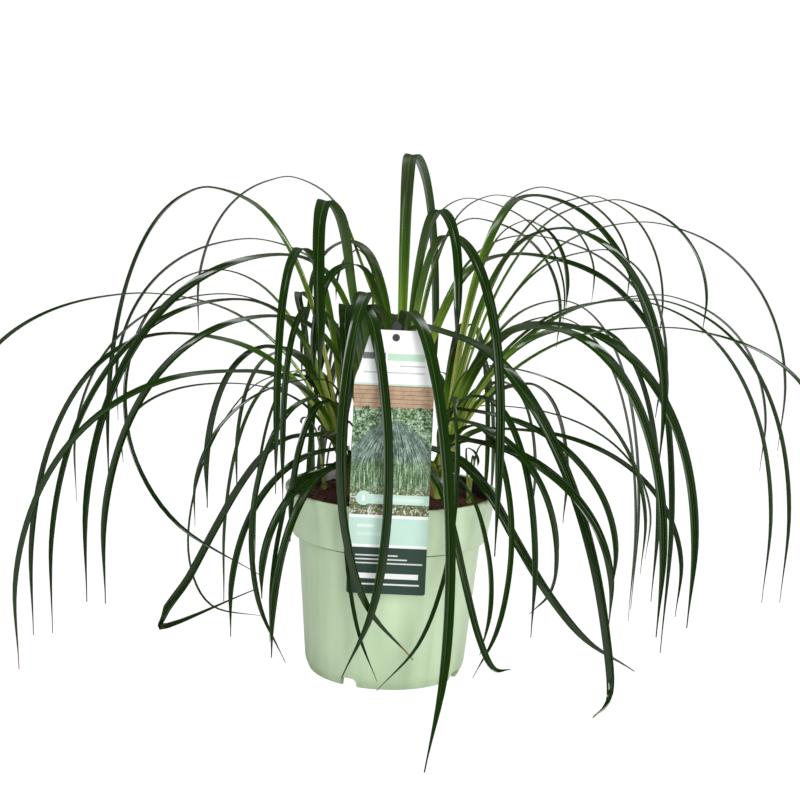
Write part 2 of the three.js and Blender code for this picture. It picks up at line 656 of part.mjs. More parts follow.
// Keeps the falling half outside the pot, on its own side of the label and above the ground.
function clearSurroundings(leaf, moves) {
  const middle = LABEL.back - LABEL.thickness / 2;
  for (let i = RISE_STEPS - 2; i < leaf.points.length - 1; i += 1) {
    const half = leaf.half[i];
    for (const s of [0, 0.25, 0.5, 0.75, 1]) {
      const point = leaf.points[i].clone().lerp(leaf.points[i + 1], s);
      const ring = flat(point);
      const inward = RIM_RADIUS + RIM_CLEAR + half - ring.length();
      const under = POT_HEIGHT + RIM_CLEAR + half - point.z;
      if (inward > 0 && under > 0) {
        const over = under < inward;
        push(moves, i, s, over ? UP : ring.normalize(), FIRM * (over ? under : inward));
      }
      const besideLabel = LABEL.width / 2 + 2 + half - Math.abs(point.x - LABEL.x);
      const overLabel = LABEL.top + 2 + half - point.z;
      const aboveFoot = point.z - LABEL.top + LABEL.height + half;
      const off = point.y - middle;
      const near = half * 0.6 + LABEL_CLEAR - Math.abs(off);
      if (besideLabel > 0 && overLabel > 0 && aboveFoot > 0 && near > 0) {
        push(moves, i, s, new THREE.Vector3(0, Math.sign(off) || -1, 0), FIRM * near);
      }
      const low = leaf.half[i + 1] * 0.7 + GROUND_CLEAR - point.z;
      if (low > 0) {
        push(moves, i, s, UP, FIRM * low);
      }
    }
  }
}

// Blades of different shoots lean apart where they would cross.
function settle(leaves) {
  const fixed = posts();
  for (let round = 0; round < SETTLE_ROUNDS; round += 1) {
    const moves = leaves.map((leaf) => leaf.points.map(() => new THREE.Vector3()));
    leaves.forEach((a, i) => {
      for (let j = i + 1; j < leaves.length; j += 1) {
        if (leaves[j].shoot !== a.shoot) {
          pushApart(a, leaves[j], moves[i], moves[j]);
        }
      }
      clearPosts(a, moves[i], fixed);
      clearSurroundings(a, moves[i]);
    });
    leaves.forEach((leaf, i) => {
      leaf.points.forEach((point, k) => point.add(moves[i][k]));
    });
  }
}

// ---------------------------------------------------------------- shoots

// A keeled blade: at each point of the midrib two edges, the groove and the keel below it.
function bladeSolid({ points, along, across, half }) {
  const corners = [];
  points.forEach((point, i) => {
    const face = along[i].clone().cross(across[i]).normalize();
    const lift = LEAF_FOLD * half[i];
    const corner = (side, height) => {
      const place = point.clone().addScaledVector(across[i], side).addScaledVector(face, height);
      corners.push(place.x, place.y, place.z);
    };
    corner(-half[i], lift);
    corner(0, LEAF_THICKNESS / 2);
    corner(half[i], lift);
    corner(0, -LEAF_THICKNESS / 2);
  });
  const triangles = [];
  for (let i = 0; i < points.length - 1; i += 1) {
    for (let k = 0; k < 4; k += 1) {
      const a = 4 * i + k;
      const b = 4 * i + (k + 1) % 4;
      triangles.push(a, b + 4, b, a, a + 4, b + 4);
    }
  }
  const last = 4 * (points.length - 1);
  triangles.push(0, 1, 3, 1, 2, 3);
  triangles.push(last, last + 3, last + 1, last + 1, last + 3, last + 2);
  const geometry = new THREE.BufferGeometry();
  geometry.setAttribute('position', new THREE.Float32BufferAttribute(corners, 3));
  geometry.setIndex(triangles);
  return solid(geometry);
}

// The wrapped leaf feet: a stout column in the soil that narrows where the leaves leave it.
function sheathSolid({ at, radius, sheath }) {
  const section = [
    [0, SOIL_TOP - SHEATH_DEPTH],
    [0.7 * radius, SOIL_TOP - SHEATH_DEPTH],
    [radius, SOIL_TOP - 0.6 * SHEATH_DEPTH],
    [radius, SOIL_TOP + 0.35 * sheath],
    [0.84 * radius, SOIL_TOP + 0.75 * sheath],
    [0.45 * radius, SOIL_TOP + sheath],
    [0, SOIL_TOP + sheath],
  ];
  return turned(section, SHEATH_SIDES).translate([...at, 0]);
}

function makeShoots() {
  const leaves = layOutLeaves();
  settle(leaves);
  return Object.entries(SHOOTS).map(([name, shoot]) => {
    const blades = leaves.filter((leaf) => leaf.shoot === name).map(bladeSolid);
    return [`${name}_shoot`, wholeBody(join([sheathSolid(shoot), ...blades]))];
  });
}

// ---------------------------------------------------------------- the plant

const FINISHES = {
  pot: { color: 0xb3c9a6, roughness: 0.42, metalness: 0 },
  soil: { color: 0x3a211a, roughness: 1, metalness: 0 },
  label: { color: 0xeff3f1, roughness: 0.38, metalness: 0 },
  stake: { color: 0x151719, roughness: 0.45, metalness: 0 },
  leaf: { color: 0x2c4a17, roughness: 0.4, metalness: 0 },
};

function part(name, manifold, finish) {
  const mesh = new THREE.Mesh(geometryOf(manifold), new THREE.MeshStandardMaterial(finish));
  mesh.name = name;
  return mesh;
}

const sedge = new THREE.Group();
sedge.add(part('pot', makePot(), FINISHES.pot));
sedge.add(part('soil', makeSoil(), FINISHES.soil));
sedge.add(part('label', makeLabel(), FINISHES.label));
sedge.add(part('label_stake', makeStake(), FINISHES.stake));
for (const [name, shoot] of makeShoots()) {
  sedge.add(part(name, shoot, FINISHES.leaf));
}

export default sedge;
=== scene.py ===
"""The finished look of a carex sedge in its nursery pot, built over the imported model."""

import math

import bmesh
import bpy
import numpy as np
from mathutils import Matrix, Vector, geometry


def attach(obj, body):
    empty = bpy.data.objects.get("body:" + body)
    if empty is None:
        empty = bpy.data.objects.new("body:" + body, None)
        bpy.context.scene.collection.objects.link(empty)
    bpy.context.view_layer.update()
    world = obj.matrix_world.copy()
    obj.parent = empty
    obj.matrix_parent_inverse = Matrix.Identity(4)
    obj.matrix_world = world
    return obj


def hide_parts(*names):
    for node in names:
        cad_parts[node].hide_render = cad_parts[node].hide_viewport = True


bl_info = {
    "name": "Potted sedge",
    "version": (1, 0, 0),
    "blender": (4, 5, 0),
    "location": "View3D > Sidebar > Sedge",
    "description": "Builds the finished look of a carex sedge in its nursery pot",
    "category": "Object",
}

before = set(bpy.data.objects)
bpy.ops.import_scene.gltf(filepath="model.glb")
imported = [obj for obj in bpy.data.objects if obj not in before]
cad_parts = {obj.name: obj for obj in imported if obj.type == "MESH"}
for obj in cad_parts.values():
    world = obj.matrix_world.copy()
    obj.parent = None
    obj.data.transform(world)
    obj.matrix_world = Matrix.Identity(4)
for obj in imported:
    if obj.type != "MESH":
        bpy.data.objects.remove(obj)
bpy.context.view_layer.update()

MM = 0.001
UP = np.array([0.0, 0.0, 1.0])

# --------------------------------------------------------------------------- sizes, in millimetres

GAP = 0.3  # between two pieces that rest on each other

RIM_RADIUS = 95
POT_HEIGHT = 167
LIP = 3.5
COLLAR_TOP_RADIUS = 93.5
COLLAR_FOOT_RADIUS = 87.5
COLLAR_FOOT = 125
BODY_TOP_RADIUS = 82
BODY_FOOT_RADIUS = 72.5
BODY_FOOT = 15
FOOT_RADIUS = 68
FLOOR = 9
SEAT_RADIUS = 24
WALL = 1.8
NOTCH = {"width": 15, "shoulder": 4, "under_floor": 0.6, "reach": 15}
NOTCH_ANGLES = (-116, -26, 64, 154)
DRAIN_RADIUS = 4
DRAIN_RING = 38
DRAIN_COUNT = 6

SOIL_TOP = 154
SOIL_SWELL = 2.4

LABEL = {"x": -1, "back": -97.2, "top": 321, "height": 226, "width": 67, "head_width": 38,
         "shoulder": 41, "corner": 2.5, "thickness": 0.8, "hole_drop": 6, "hole_radius": 2.6}
STAKE = {"width": 8, "thickness": 2.4, "above": 7, "foot": 62, "lean": 0.115, "neck": 2.0,
         "head": 3.1, "head_thickness": 0.9}

# Each shoot: where it stands, its sheath's radius and height, how many leaves fill its back and
# the two angles that those fan between.
SHOOTS = {
    "left": ((-42, 15), 8.5, 46, 5, (100, 165)),
    "middle": ((-18, 4), 8, 42, 3, (95, 125)),
    "centre": ((4, 36), 9, 48, 8, (60, 120)),
    "right": ((41, 20), 8.5, 46, 5, (15, 80)),
    "young_left": ((-62, 34), 3.5, 9, 0, (0, 0)),
    "young_right": ((70, 2), 3.5, 9, 0, (0, 0)),
}

LEAF_THICKNESS = 1.2
LEAF_FACING = (44, 12, 62)  # degrees that foot, crest and tip of a sideways leaf face the front
LEAF_FOOT = 0.55  # share of the sheath's height at which its midrib starts
LEAF_FOOT_OUT = 0.35  # and share of the sheath's radius
RISE_STEPS = 4
FALL_STEPS = 6
EXTRA_SEED = 19
# Least value and spread of what is drawn for each leaf at the back: how far out its crest lies,
# how much further its tip, the height of both, its width and its roll.
EXTRA = {"reach": (55, 55), "fall": (40, 70), "crest": (250, 70), "tip": (20, 110),
         "width": (5, 6), "roll": (0, 30)}
# Where the two curves of a midrib are drawn to, as shares of its reach and height.
COURSE = {"foot_out": 0.16, "foot_up": 0.56, "crest_back": 0.52, "crest_on": 0.66,
          "tip_out": 0.12, "tip_up": 0.6}
# A blade's width at its foot, on the way up and at its tip, and the shares of its length at
# which one passes into the next.
BLADE = {"foot": 0.5, "foot_to": 0.25, "rise": 1.28, "rise_from": 0.1, "rise_to": 0.55,
         "tip": 0.14, "taper_from": 0.84, "taper_power": 1.6, "finest": 0.75}
TURN_SPREAD = 70  # degrees within which the falling halves turn at random

SETTLE_ROUNDS = 70
CLEAR = 1.4  # between the blades of two shoots
RIM_CLEAR = 1.5
LABEL_CLEAR = 3
LABEL_MARGIN = 2  # round the label, within which a blade is kept off it
GROUND_CLEAR = 1.2
POST_BELOW = 5  # how far under the soil a sheath is kept clear
POST_OVER = 9  # how far over a sheath's top
STAKE_CLEAR = 0.8
NEAR = 16  # stretches further apart than this can't touch
PAIR_MARGIN = 60  # and this is added for the pairs that are looked at in every round
TOUCHING = 0.05
BESIDE_LABEL = 0.6  # share of its half width that a blade keeps off the label
OVER_FLOOR = 0.7  # and off the ground
EDGE_ON = 0.3  # least share of its width that a blade counts with
PASSED_ON = 0.4  # share of a push that the points beside it take up
YIELD = 0.3  # share of an overlap that each round takes up, between two leaves
FIRM = 0.6  # and between a leaf and what stays put

# One row a leaf: shoot, crest, tip, width, roll, then the point that its falling half is drawn
# out to and the point that it creases on to, where it has them.
LEAVES = [
    ("left", (-170, 40, 425), (-265, 70, 135), 7, 10),
    ("left", (-170, 60, 350), (-110, -40, 90), 6, 20, (-305, 40, 135)),
    ("left", (-215, 20, 330), (-385, 0, 165), 6, 10),
    ("left", (-140, 0, 330), (-295, -40, 30), 7, 25),
    ("left", (-150, 40, 330), (-295, 70, 125), 5, 10),
    ("left", (-190, -20, 300), (-320, 0, 15), 8, 20),
    ("left", (-135, -60, 275), (-320, -60, 2), 9, 30),
    ("left", (-135, 60, 245), (-255, 90, 160), 5, 10),
    ("left", (-90, 60, 260), (-120, 135, 2), 5, 20, (-255, 100, -15)),
    ("left", (-70, -50, 270), (-165, -90, 145), 5, 10),
    ("left", (-70, -60, 255), (-85, -80, 25), 7, 20, (-145, -80, 115)),
    ("left", (-65, -20, 215), (-215, 80, 2), 11, 45, (-150, 43, 120), (-125, 55, 50)),
    ("left", (-50, -30, 205), (-135, -60, 40), 8, 30),
    ("left", (-60, -50, 250), (-85, -70, 130), 8, 10),
    ("left", (-85, -30, 380), (-95, -130, 185), 9, 0),
    ("left", (-55, -20, 185), (-105, -110, 90), 9, 20),
    ("left", (-50, -30, 190), (-95, -115, 40), 9, 20),
    ("left", (-65, -10, 185), (-100, -70, 40), 6, 20),
    ("centre", (-100, 90, 435), (-190, 120, 285), 5, 10),
    ("centre", (-130, 110, 375), (-270, 150, 190), 6, 10),
    ("centre", (-100, 10, 370), (-265, -40, 60), 9, 35),
    ("centre", (5, 80, 460), (35, 190, 195), 12, 0),
    ("centre", (-45, 60, 380), (-90, 110, 245), 10, 20),
    ("centre", (-45, 0, 365), (-70, -60, 275), 10, 15),
    ("centre", (30, 10, 415), (50, -60, 305), 11, 10),
    ("centre", (40, -10, 395), (90, -110, 135), 11, 15),
    ("centre", (60, 70, 405), (150, 110, 285), 6, 10),
    ("centre", (110, 100, 390), (260, 140, 195), 6, 10),
    ("centre", (100, 60, 375), (245, 90, 225), 9, 30),
    ("centre", (55, 130, 420), (160, 170, 295), 4, 10),
    ("centre", (80, 110, 425), (185, 150, 325), 4, 10),
    ("centre", (-30, -90, 340), (-35, -130, 30), 11, 0, (25, -130, 135)),
    ("centre", (10, -94, 336), (35, -265, 2), 12, 0, (70, -160, 110)),
    ("centre", (25, -30, 315), (200, -70, 2), 12, 40, (195, -60, 110), (178, -128, 3)),
    ("middle", (-105, -30, 320), (-245, -60, 65), 9, 30),
    ("middle", (-75, -40, 330), (-90, -110, 175), 7, 15),
    ("middle", (-90, 80, 330), (-75, 150, 55), 8, 0),
    ("middle", (-65, -10, 420), (-65, -70, 270), 14, 0),
    ("middle", (-40, 90, 370), (-60, 110, 320), 4, 0),
    ("middle", (-45, -10, 330), (-40, -60, 235), 14, 0),
    ("middle", (-25, -90, 350), (25, -120, 45), 11, 0, (-75, -130, 115)),
    ("middle", (-40, -60, 235), (-5, -120, 25), 5, 0, (-45, -120, 95)),
    ("right", (115, 40, 430), (260, 60, 5), 9, 35),
    ("right", (120, 90, 435), (215, 120, 330), 5, 10),
    ("right", (165, 70, 430), (245, 100, 295), 5, 10),
    ("right", (180, 20, 430), (270, 10, 315), 5, 5),
    ("right", (210, 50, 410), (360, 80, 200), 5, 5),
    ("right", (230, 90, 340), (355, 130, 170), 5, 5),
    ("right", (200, -10, 345), (335, -20, 80), 6, 20),
    ("right", (215, 10, 345), (360, 20, 70), 6, 20),
    ("right", (230, -30, 325), (365, -50, 210), 6, 15),
    ("right", (125, -30, 320), (240, -40, 50), 11, 40),
    ("right", (130, 0, 320), (275, 10, 45), 11, 35),
    ("right", (85, -60, 290), (215, -90, 120), 5, 15),
    ("right", (85, 30, 240), (240, 60, 95), 4, 15),
    ("right", (60, -30, 245), (195, -60, 90), 8, 30),
    ("right", (95, 50, 215), (275, 80, 35), 7, 25),
    ("right", (65, -40, 220), (190, -100, 75), 10, 40),
    ("right", (60, -60, 240), (140, -110, 110), 8, 25),
    ("right", (75, -50, 260), (125, -90, 60), 8, 20),
    ("right", (75, -60, 235), (75, -130, 35), 7, 20, (120, -130, 105)),
    ("right", (75, -20, 215), (130, 0, 55), 6, 20, (175, 0, 80)),
    ("right", (145, 60, 335), (235, 100, 35), 6, 20),
    ("right", (170, 30, 315), (245, 40, 60), 8, 30),
    ("right", (105, 0, 410), (145, -20, 335), 5, 15),
    ("right", (135, -10, 405), (235, -20, 195), 8, 25),
    ("right", (175, 30, 385), (245, 50, 230), 5, 10),
    ("right", (30, -30, 210), (230, 10, 2), 11, 40, (120, -75, 70)),
    ("right", (30, -70, 200), (105, -150, 50), 8, 10, (75, -150, 20)),
    ("right", (50, -60, 195), (80, -130, 55), 6, 15, (100, -130, 120)),
    ("right", (50, -60, 260), (-5, -130, 20), 6, 10, (75, -130, 85)),
    ("young_left", (-80, 30, 222), (-84, 28, 216), 4, 0),
    ("young_left", (-66, 36, 214), (-68, 34, 208), 3.5, 0),
    ("young_left", (-54, 44, 202), (-52, 48, 197), 3, 0),
    ("young_right", (66, -2, 206), (76, -6, 190), 4, 0),
    ("young_right", (80, 8, 208), (86, 11, 198), 3.5, 0),
    ("young_right", (72, 14, 196), (73, 19, 190), 3, 0),
]


# --------------------------------------------------------------------------- leaf courses

def unit(vectors):
    """Each vector at length one."""
    return vectors / np.maximum(np.linalg.norm(vectors, axis=-1, keepdims=True), 1e-12)


def dot(a, b):
    return (a * b).sum(-1)


def smooth(value, low, high):
    """0 below low, 1 above high and an S curve between."""
    share = np.clip((np.asarray(value, float) - low) / (high - low), 0, 1)
    return share * share * (3 - 2 * share)


def draws(seed):
    """A repeatable run of numbers between 0 and 1."""
    state = seed
    while True:
        state = state * 16807 % 2147483647
        yield state / 2147483647


def extra_leaves():
    """The leaves that fill the back of each shoot, between the two angles of its fan."""
    draw = draws(EXTRA_SEED)

    def drawn(name):
        least, spread = EXTRA[name]
        return least + spread * next(draw)

    rows = []
    for shoot, (at, _, _, extra, fan) in SHOOTS.items():
        for i in range(extra):
            angle = math.radians(fan[0] + (fan[1] - fan[0]) * (i + next(draw)) / extra)
            reach = drawn("reach")
            fall = reach + drawn("fall")
            way = np.array([math.cos(angle), math.sin(angle)])
            crest = [*(at + way * reach), drawn("crest")]
            tip = [*(at + way * fall), drawn("tip")]
            rows.append((shoot, crest, tip, drawn("width"), drawn("roll")))
    return rows


def bezier(a, b, c, d, share):
    share = np.asarray(share)[:, None]
    rest = 1 - share
    return rest**3 * a + 3 * rest**2 * share * b + 3 * rest * share**2 * c + share**3 * d


def midrib(shoot, crest, tip, bow=None, fold=None):
    """The line of a leaf's midrib: up from inside the sheath to the crest, then over and down."""
    at, radius, sheath, _, _ = SHOOTS[shoot]
    foot = np.array([*at, SOIL_TOP + LEAF_FOOT * sheath])
    top, end = np.array(crest, float), np.array(tip, float)
    level = np.array([1.0, 1.0, 0.0])
    outward = unit((end - foot) * level)
    to_crest = (top - foot) * level
    start = foot + unit(to_crest) * LEAF_FOOT_OUT * radius
    lower = start + to_crest * COURSE["foot_out"] + UP * COURSE["foot_up"] * (top - start)[2]
    before = top - outward * COURSE["crest_back"] * np.linalg.norm(to_crest)
    rise = bezier(start, lower, before, top, np.arange(RISE_STEPS + 1) / RISE_STEPS)
    pull = end if bow is None else np.array(bow, float)
    away = (pull - top) * level
    reach = np.linalg.norm(away)
    beyond = top + unit(unit(away) + outward) * COURSE["crest_on"] * reach
    above = pull.copy()
    if bow is None:
        above += outward * COURSE["tip_out"] * reach + UP * COURSE["tip_up"] * (top - end)[2]
    fall = bezier(top, beyond, above, end, np.arange(1, FALL_STEPS + 1) / FALL_STEPS)
    points = [rise, fall] if fold is None else [rise, fall, [fold]]
    return np.vstack(points)


def half_width(width, along, finest):
    """Narrow in the sheath, broadest on the way up, then tapering to a fine point."""
    foot = 1 - (1 - BLADE["foot"]) * (1 - smooth(along, 0, BLADE["foot_to"]))
    rise = BLADE["rise"] - (BLADE["rise"] - 1) * smooth(along, BLADE["rise_from"], BLADE["rise_to"])
    taper = smooth(along, BLADE["taper_from"], 1) ** BLADE["taper_power"]
    taper = 1 - (1 - BLADE["tip"]) * taper
    return np.maximum(width / 2 * foot * rise * taper, finest)


def turned(vector, axis, angle):
    """A vector turned about a unit axis."""
    straight = axis * dot(axis, vector)
    level = vector - straight
    return straight + level * math.cos(angle) + np.cross(axis, level) * math.sin(angle)


def blade_frames(points, roll, turn):
    """The direction across the blade at each point, level at the crest."""
    count = len(points)
    after = np.minimum(np.arange(count) + 1, count - 1)
    along = unit(points[after] - points[np.maximum(np.arange(count) - 1, 0)])
    across = np.zeros((count, 3))
    across[RISE_STEPS] = unit(np.cross(UP, along[RISE_STEPS]))
    down = [(i, i - 1) for i in range(RISE_STEPS, 0, -1)]
    for here, there in down + [(i, i + 1) for i in range(RISE_STEPS, count - 1)]:
        side = across[here]
        across[there] = unit(side - along[there] * dot(side, along[there]))
    sideways = along[RISE_STEPS][0]
    foot, crest, tip = LEAF_FACING
    for i in range(count):
        fall = max(0, i - RISE_STEPS) / (count - 1 - RISE_STEPS)
        rise = max(0, RISE_STEPS - i) / RISE_STEPS
        facing = roll + crest + (foot - crest) * rise + (tip - crest) * fall
        angle = math.radians(facing * sideways + turn * fall)
        across[i] = turned(across[i], along[i], angle)
    return across


def lay_out_leaves():
    """Every leaf as its row says, before any is bent clear of another."""
    draw = draws(EXTRA_SEED + 1)
    leaves = []
    for shoot, crest, tip, width, roll, *drawn_to in LEAVES + extra_leaves():
        points = midrib(shoot, crest, tip, *drawn_to)
        across = blade_frames(points, roll, TURN_SPREAD * (next(draw) - 0.5))
        share = np.arange(len(points)) / (len(points) - 1)
        half = half_width(width, share, BLADE["finest"])
        leaves.append({"shoot": shoot, "width": width, "points": points, "across": across,
                       "half": half})
    return leaves


# --------------------------------------------------------------------------- bending clear

class Bundle:
    """All the leaves' points in one list, with the straight stretches between them."""

    def __init__(self, leaves):
        self.points = np.vstack([leaf["points"] for leaf in leaves])
        starts = np.cumsum([0] + [len(leaf["points"]) for leaf in leaves])
        self.first = np.concatenate([np.arange(a, b - 1) for a, b in zip(starts, starts[1:])])
        sizes = np.diff(starts)
        self.leaf = np.repeat(np.arange(len(leaves)), sizes - 1)
        self.low = np.repeat(starts[:-1], sizes - 1)
        self.high = np.repeat(starts[1:], sizes - 1)
        self.step = self.first - self.low
        names = list(SHOOTS)
        self.shoot = np.array([names.index(leaf["shoot"]) for leaf in leaves])[self.leaf]
        half = np.concatenate([leaf["half"] for leaf in leaves])
        self.half = half[self.first]
        self.half_after = half[self.first + 1]
        self.widest = np.maximum(self.half, self.half_after)
        self.across = np.vstack([leaf["across"] for leaf in leaves])[self.first]

    def starts_and_steps(self):
        start = self.points[self.first]
        return start, self.points[self.first + 1] - start

    def reach(self, stretch, way):
        """How far a blade reaches to one side of its midrib."""
        side = np.abs(dot(self.across[stretch], way))
        return self.widest[stretch] * np.maximum(EDGE_ON, side) + LEAF_THICKNESS / 2

    def push(self, moves, stretch, share, way, distance):
        """Moves a stretch, most at its share; the foot of the leaf stays where it is."""
        weights = ((-1, PASSED_ON * (1 - share)), (0, 1 - share), (1, share),
                   (2, PASSED_ON * share))
        for offset, weight in weights:
            at = self.first[stretch] + offset
            free = (at > self.low[stretch]) & (at < self.high[stretch])
            amount = (way * (distance * weight)[:, None])[free]
            np.add.at(moves, at[free], amount)


def nearest(p, u, q, v):
    """The nearest points of two straight stretches, as shares of each."""
    w = p - q
    a, b, c, d, e = dot(u, u), dot(u, v), dot(v, v), dot(u, w), dot(v, w)
    spread = a * c - b * b
    apart = spread > 1e-9
    s = np.where(apart, np.clip((b * e - c * d) / np.where(apart, spread, 1), 0, 1), 0.5)
    t = np.clip((b * s + e) / c, 0, 1)
    return np.clip((b * t - d) / a, 0, 1), t


def close_pairs(bundle, margin):
    """Stretches of different shoots whose middles lie near each other."""
    start, step = bundle.starts_and_steps()
    middle, length = start + step / 2, np.linalg.norm(step, axis=1)
    apart = np.linalg.norm(middle[:, None] - middle[None], axis=2)
    near = apart <= (length[:, None] + length[None]) / 2 + NEAR + margin
    near &= (bundle.leaf[:, None] < bundle.leaf[None])
    near &= (bundle.shoot[:, None] != bundle.shoot[None])
    return np.nonzero(near)


def push_apart(bundle, moves, pairs):
    """Leans the blades of different shoots apart where they come too close."""
    a, b = pairs
    start, step = bundle.starts_and_steps()
    p, u, q, v = start[a], step[a], start[b], step[b]
    middles = p - q + u / 2 - v / 2
    reach = (np.linalg.norm(u, axis=1) + np.linalg.norm(v, axis=1)) / 2 + NEAR
    near = np.linalg.norm(middles, axis=1) <= reach
    a, b, p, u, q, v = a[near], b[near], p[near], u[near], q[near], v[near]
    s, t = nearest(p, u, q, v)
    between = p + u * s[:, None] - q - v * t[:, None]
    distance = np.linalg.norm(between, axis=1)
    touching = distance < TOUCHING
    between[touching] = np.cross(u[touching], v[touching])
    between = unit(between)
    distance[touching] = 0
    room = bundle.reach(a, between) + bundle.reach(b, between) + CLEAR - distance
    tight = room > 0
    a, b, s, t, between, room = (each[tight] for each in (a, b, s, t, between, room))
    bundle.push(moves, a, s, between, YIELD * room)
    bundle.push(moves, b, t, between, -YIELD * room)


def posts():
    """What stays put and is kept clear of: each sheath, and the stake."""
    found = []
    for index, (at, radius, sheath, _, _) in enumerate(SHOOTS.values()):
        low = np.array([*at, SOIL_TOP - POST_BELOW], float)
        found.append((index, radius, low, low + UP * (sheath + POST_OVER)))
    top = LABEL["top"] + STAKE["above"]
    low = np.array([LABEL["x"], stake_middle(SOIL_TOP), SOIL_TOP])
    high = np.array([LABEL["x"], stake_middle(top), top])
    found.append((-1, STAKE["width"] / 2 + STAKE_CLEAR, low, high))
    return found


def clear_posts(bundle, moves, fixed):
    """Leans blades off the sheaths of other shoots and off the stake."""
    start, step = bundle.starts_and_steps()
    for shoot, radius, low, high in fixed:
        others = np.nonzero(bundle.shoot != shoot)[0]
        p, u = start[others], step[others]
        q, v = np.broadcast_to(low, p.shape), np.broadcast_to(high - low, p.shape)
        s, t = nearest(p, u, q, v)
        between = p + u * s[:, None] - q - v * t[:, None]
        distance = np.maximum(np.linalg.norm(between, axis=1), TOUCHING)
        between = between / distance[:, None]
        room = bundle.reach(others, between) + radius + CLEAR - distance
        tight = room > 0
        bundle.push(moves, others[tight], s[tight], between[tight], FIRM * room[tight])


def clear_surroundings(bundle, moves):
    """Keeps the falling half outside the pot, on its side of the label and above the ground."""
    middle = LABEL["back"] - LABEL["thickness"] / 2
    falling = np.nonzero(bundle.step >= RISE_STEPS - 2)[0]
    start, step = bundle.starts_and_steps()
    half, after = bundle.half[falling], bundle.half_after[falling]
    for s in (0, 0.25, 0.5, 0.75, 1):
        share = np.full(len(falling), float(s))
        point = start[falling] + step[falling] * s
        ring = point * [1, 1, 0]
        inward = RIM_RADIUS + RIM_CLEAR + half - np.linalg.norm(ring, axis=1)
        under = POT_HEIGHT + RIM_CLEAR + half - point[:, 2]
        tight = (inward > 0) & (under > 0)
        over = (under < inward)[:, None]
        way = np.where(over, UP, unit(ring))
        amount = FIRM * np.where(over[:, 0], under, inward)
        bundle.push(moves, falling[tight], share[tight], way[tight], amount[tight])
        beside = LABEL["width"] / 2 + LABEL_MARGIN + half - np.abs(point[:, 0] - LABEL["x"])
        over_label = LABEL["top"] + LABEL_MARGIN + half - point[:, 2]
        above_foot = point[:, 2] - LABEL["top"] + LABEL["height"] + half
        off = point[:, 1] - middle
        near = half * BESIDE_LABEL + LABEL_CLEAR - np.abs(off)
        tight = (beside > 0) & (over_label > 0) & (above_foot > 0) & (near > 0)
        way = np.where(off < 0, -1.0, 1.0)[:, None] * [0, 1, 0]
        bundle.push(moves, falling[tight], share[tight], way[tight], FIRM * near[tight])
        low = after * OVER_FLOOR + GROUND_CLEAR - point[:, 2]
        tight = low > 0
        way = np.broadcast_to(UP, point.shape)
        bundle.push(moves, falling[tight], share[tight], way[tight], FIRM * low[tight])


def settled_leaves():
    """The leaves with the blades of different shoots leant apart where they would cross."""
    leaves = lay_out_leaves()
    bundle = Bundle(leaves)
    fixed = posts()
    pairs = close_pairs(bundle, PAIR_MARGIN)
    for _ in range(SETTLE_ROUNDS):
        moves = np.zeros_like(bundle.points)
        push_apart(bundle, moves, pairs)
        clear_posts(bundle, moves, fixed)
        clear_surroundings(bundle, moves)
        bundle.points += moves
    start = 0
    for leaf in leaves:
        count = len(leaf["points"])
        leaf["points"] = bundle.points[start:start + count]
        start += count
    return leaves


# --------------------------------------------------------------------------- shader values

class Wire:
    """A shader value that Python's operators work on."""

    def __init__(self, graph, socket):
        self.graph = graph
        self.socket = socket

    def __add__(self, other):
        return self.graph.math("ADD", self, other)

    __radd__ = __add__

    def __sub__(self, other):
        return self.graph.math("SUBTRACT", self, other)

    def __rsub__(self, other):
        return self.graph.math("SUBTRACT", other, self)

    def __mul__(self, other):
        return self.graph.math("MULTIPLY", self, other)

    __rmul__ = __mul__

    def __truediv__(self, other):
        return self.graph.math("DIVIDE", self, other)

    def __abs__(self):
        return self.graph.math("ABSOLUTE", self)

    def step(self, low, high):
        """0 below low, 1 above high and a smooth slope between."""
        settings = {"interpolation_type": "SMOOTHSTEP"}
        return self.graph.node("ShaderNodeMapRange", settings, {0: self, 1: low, 2: high})

    def within(self, low, high, soft):
        """1 between low and high, 0 outside, with edges that wide."""
        return self.step(low - soft, low + soft) * (1 - self.step(high - soft, high + soft))


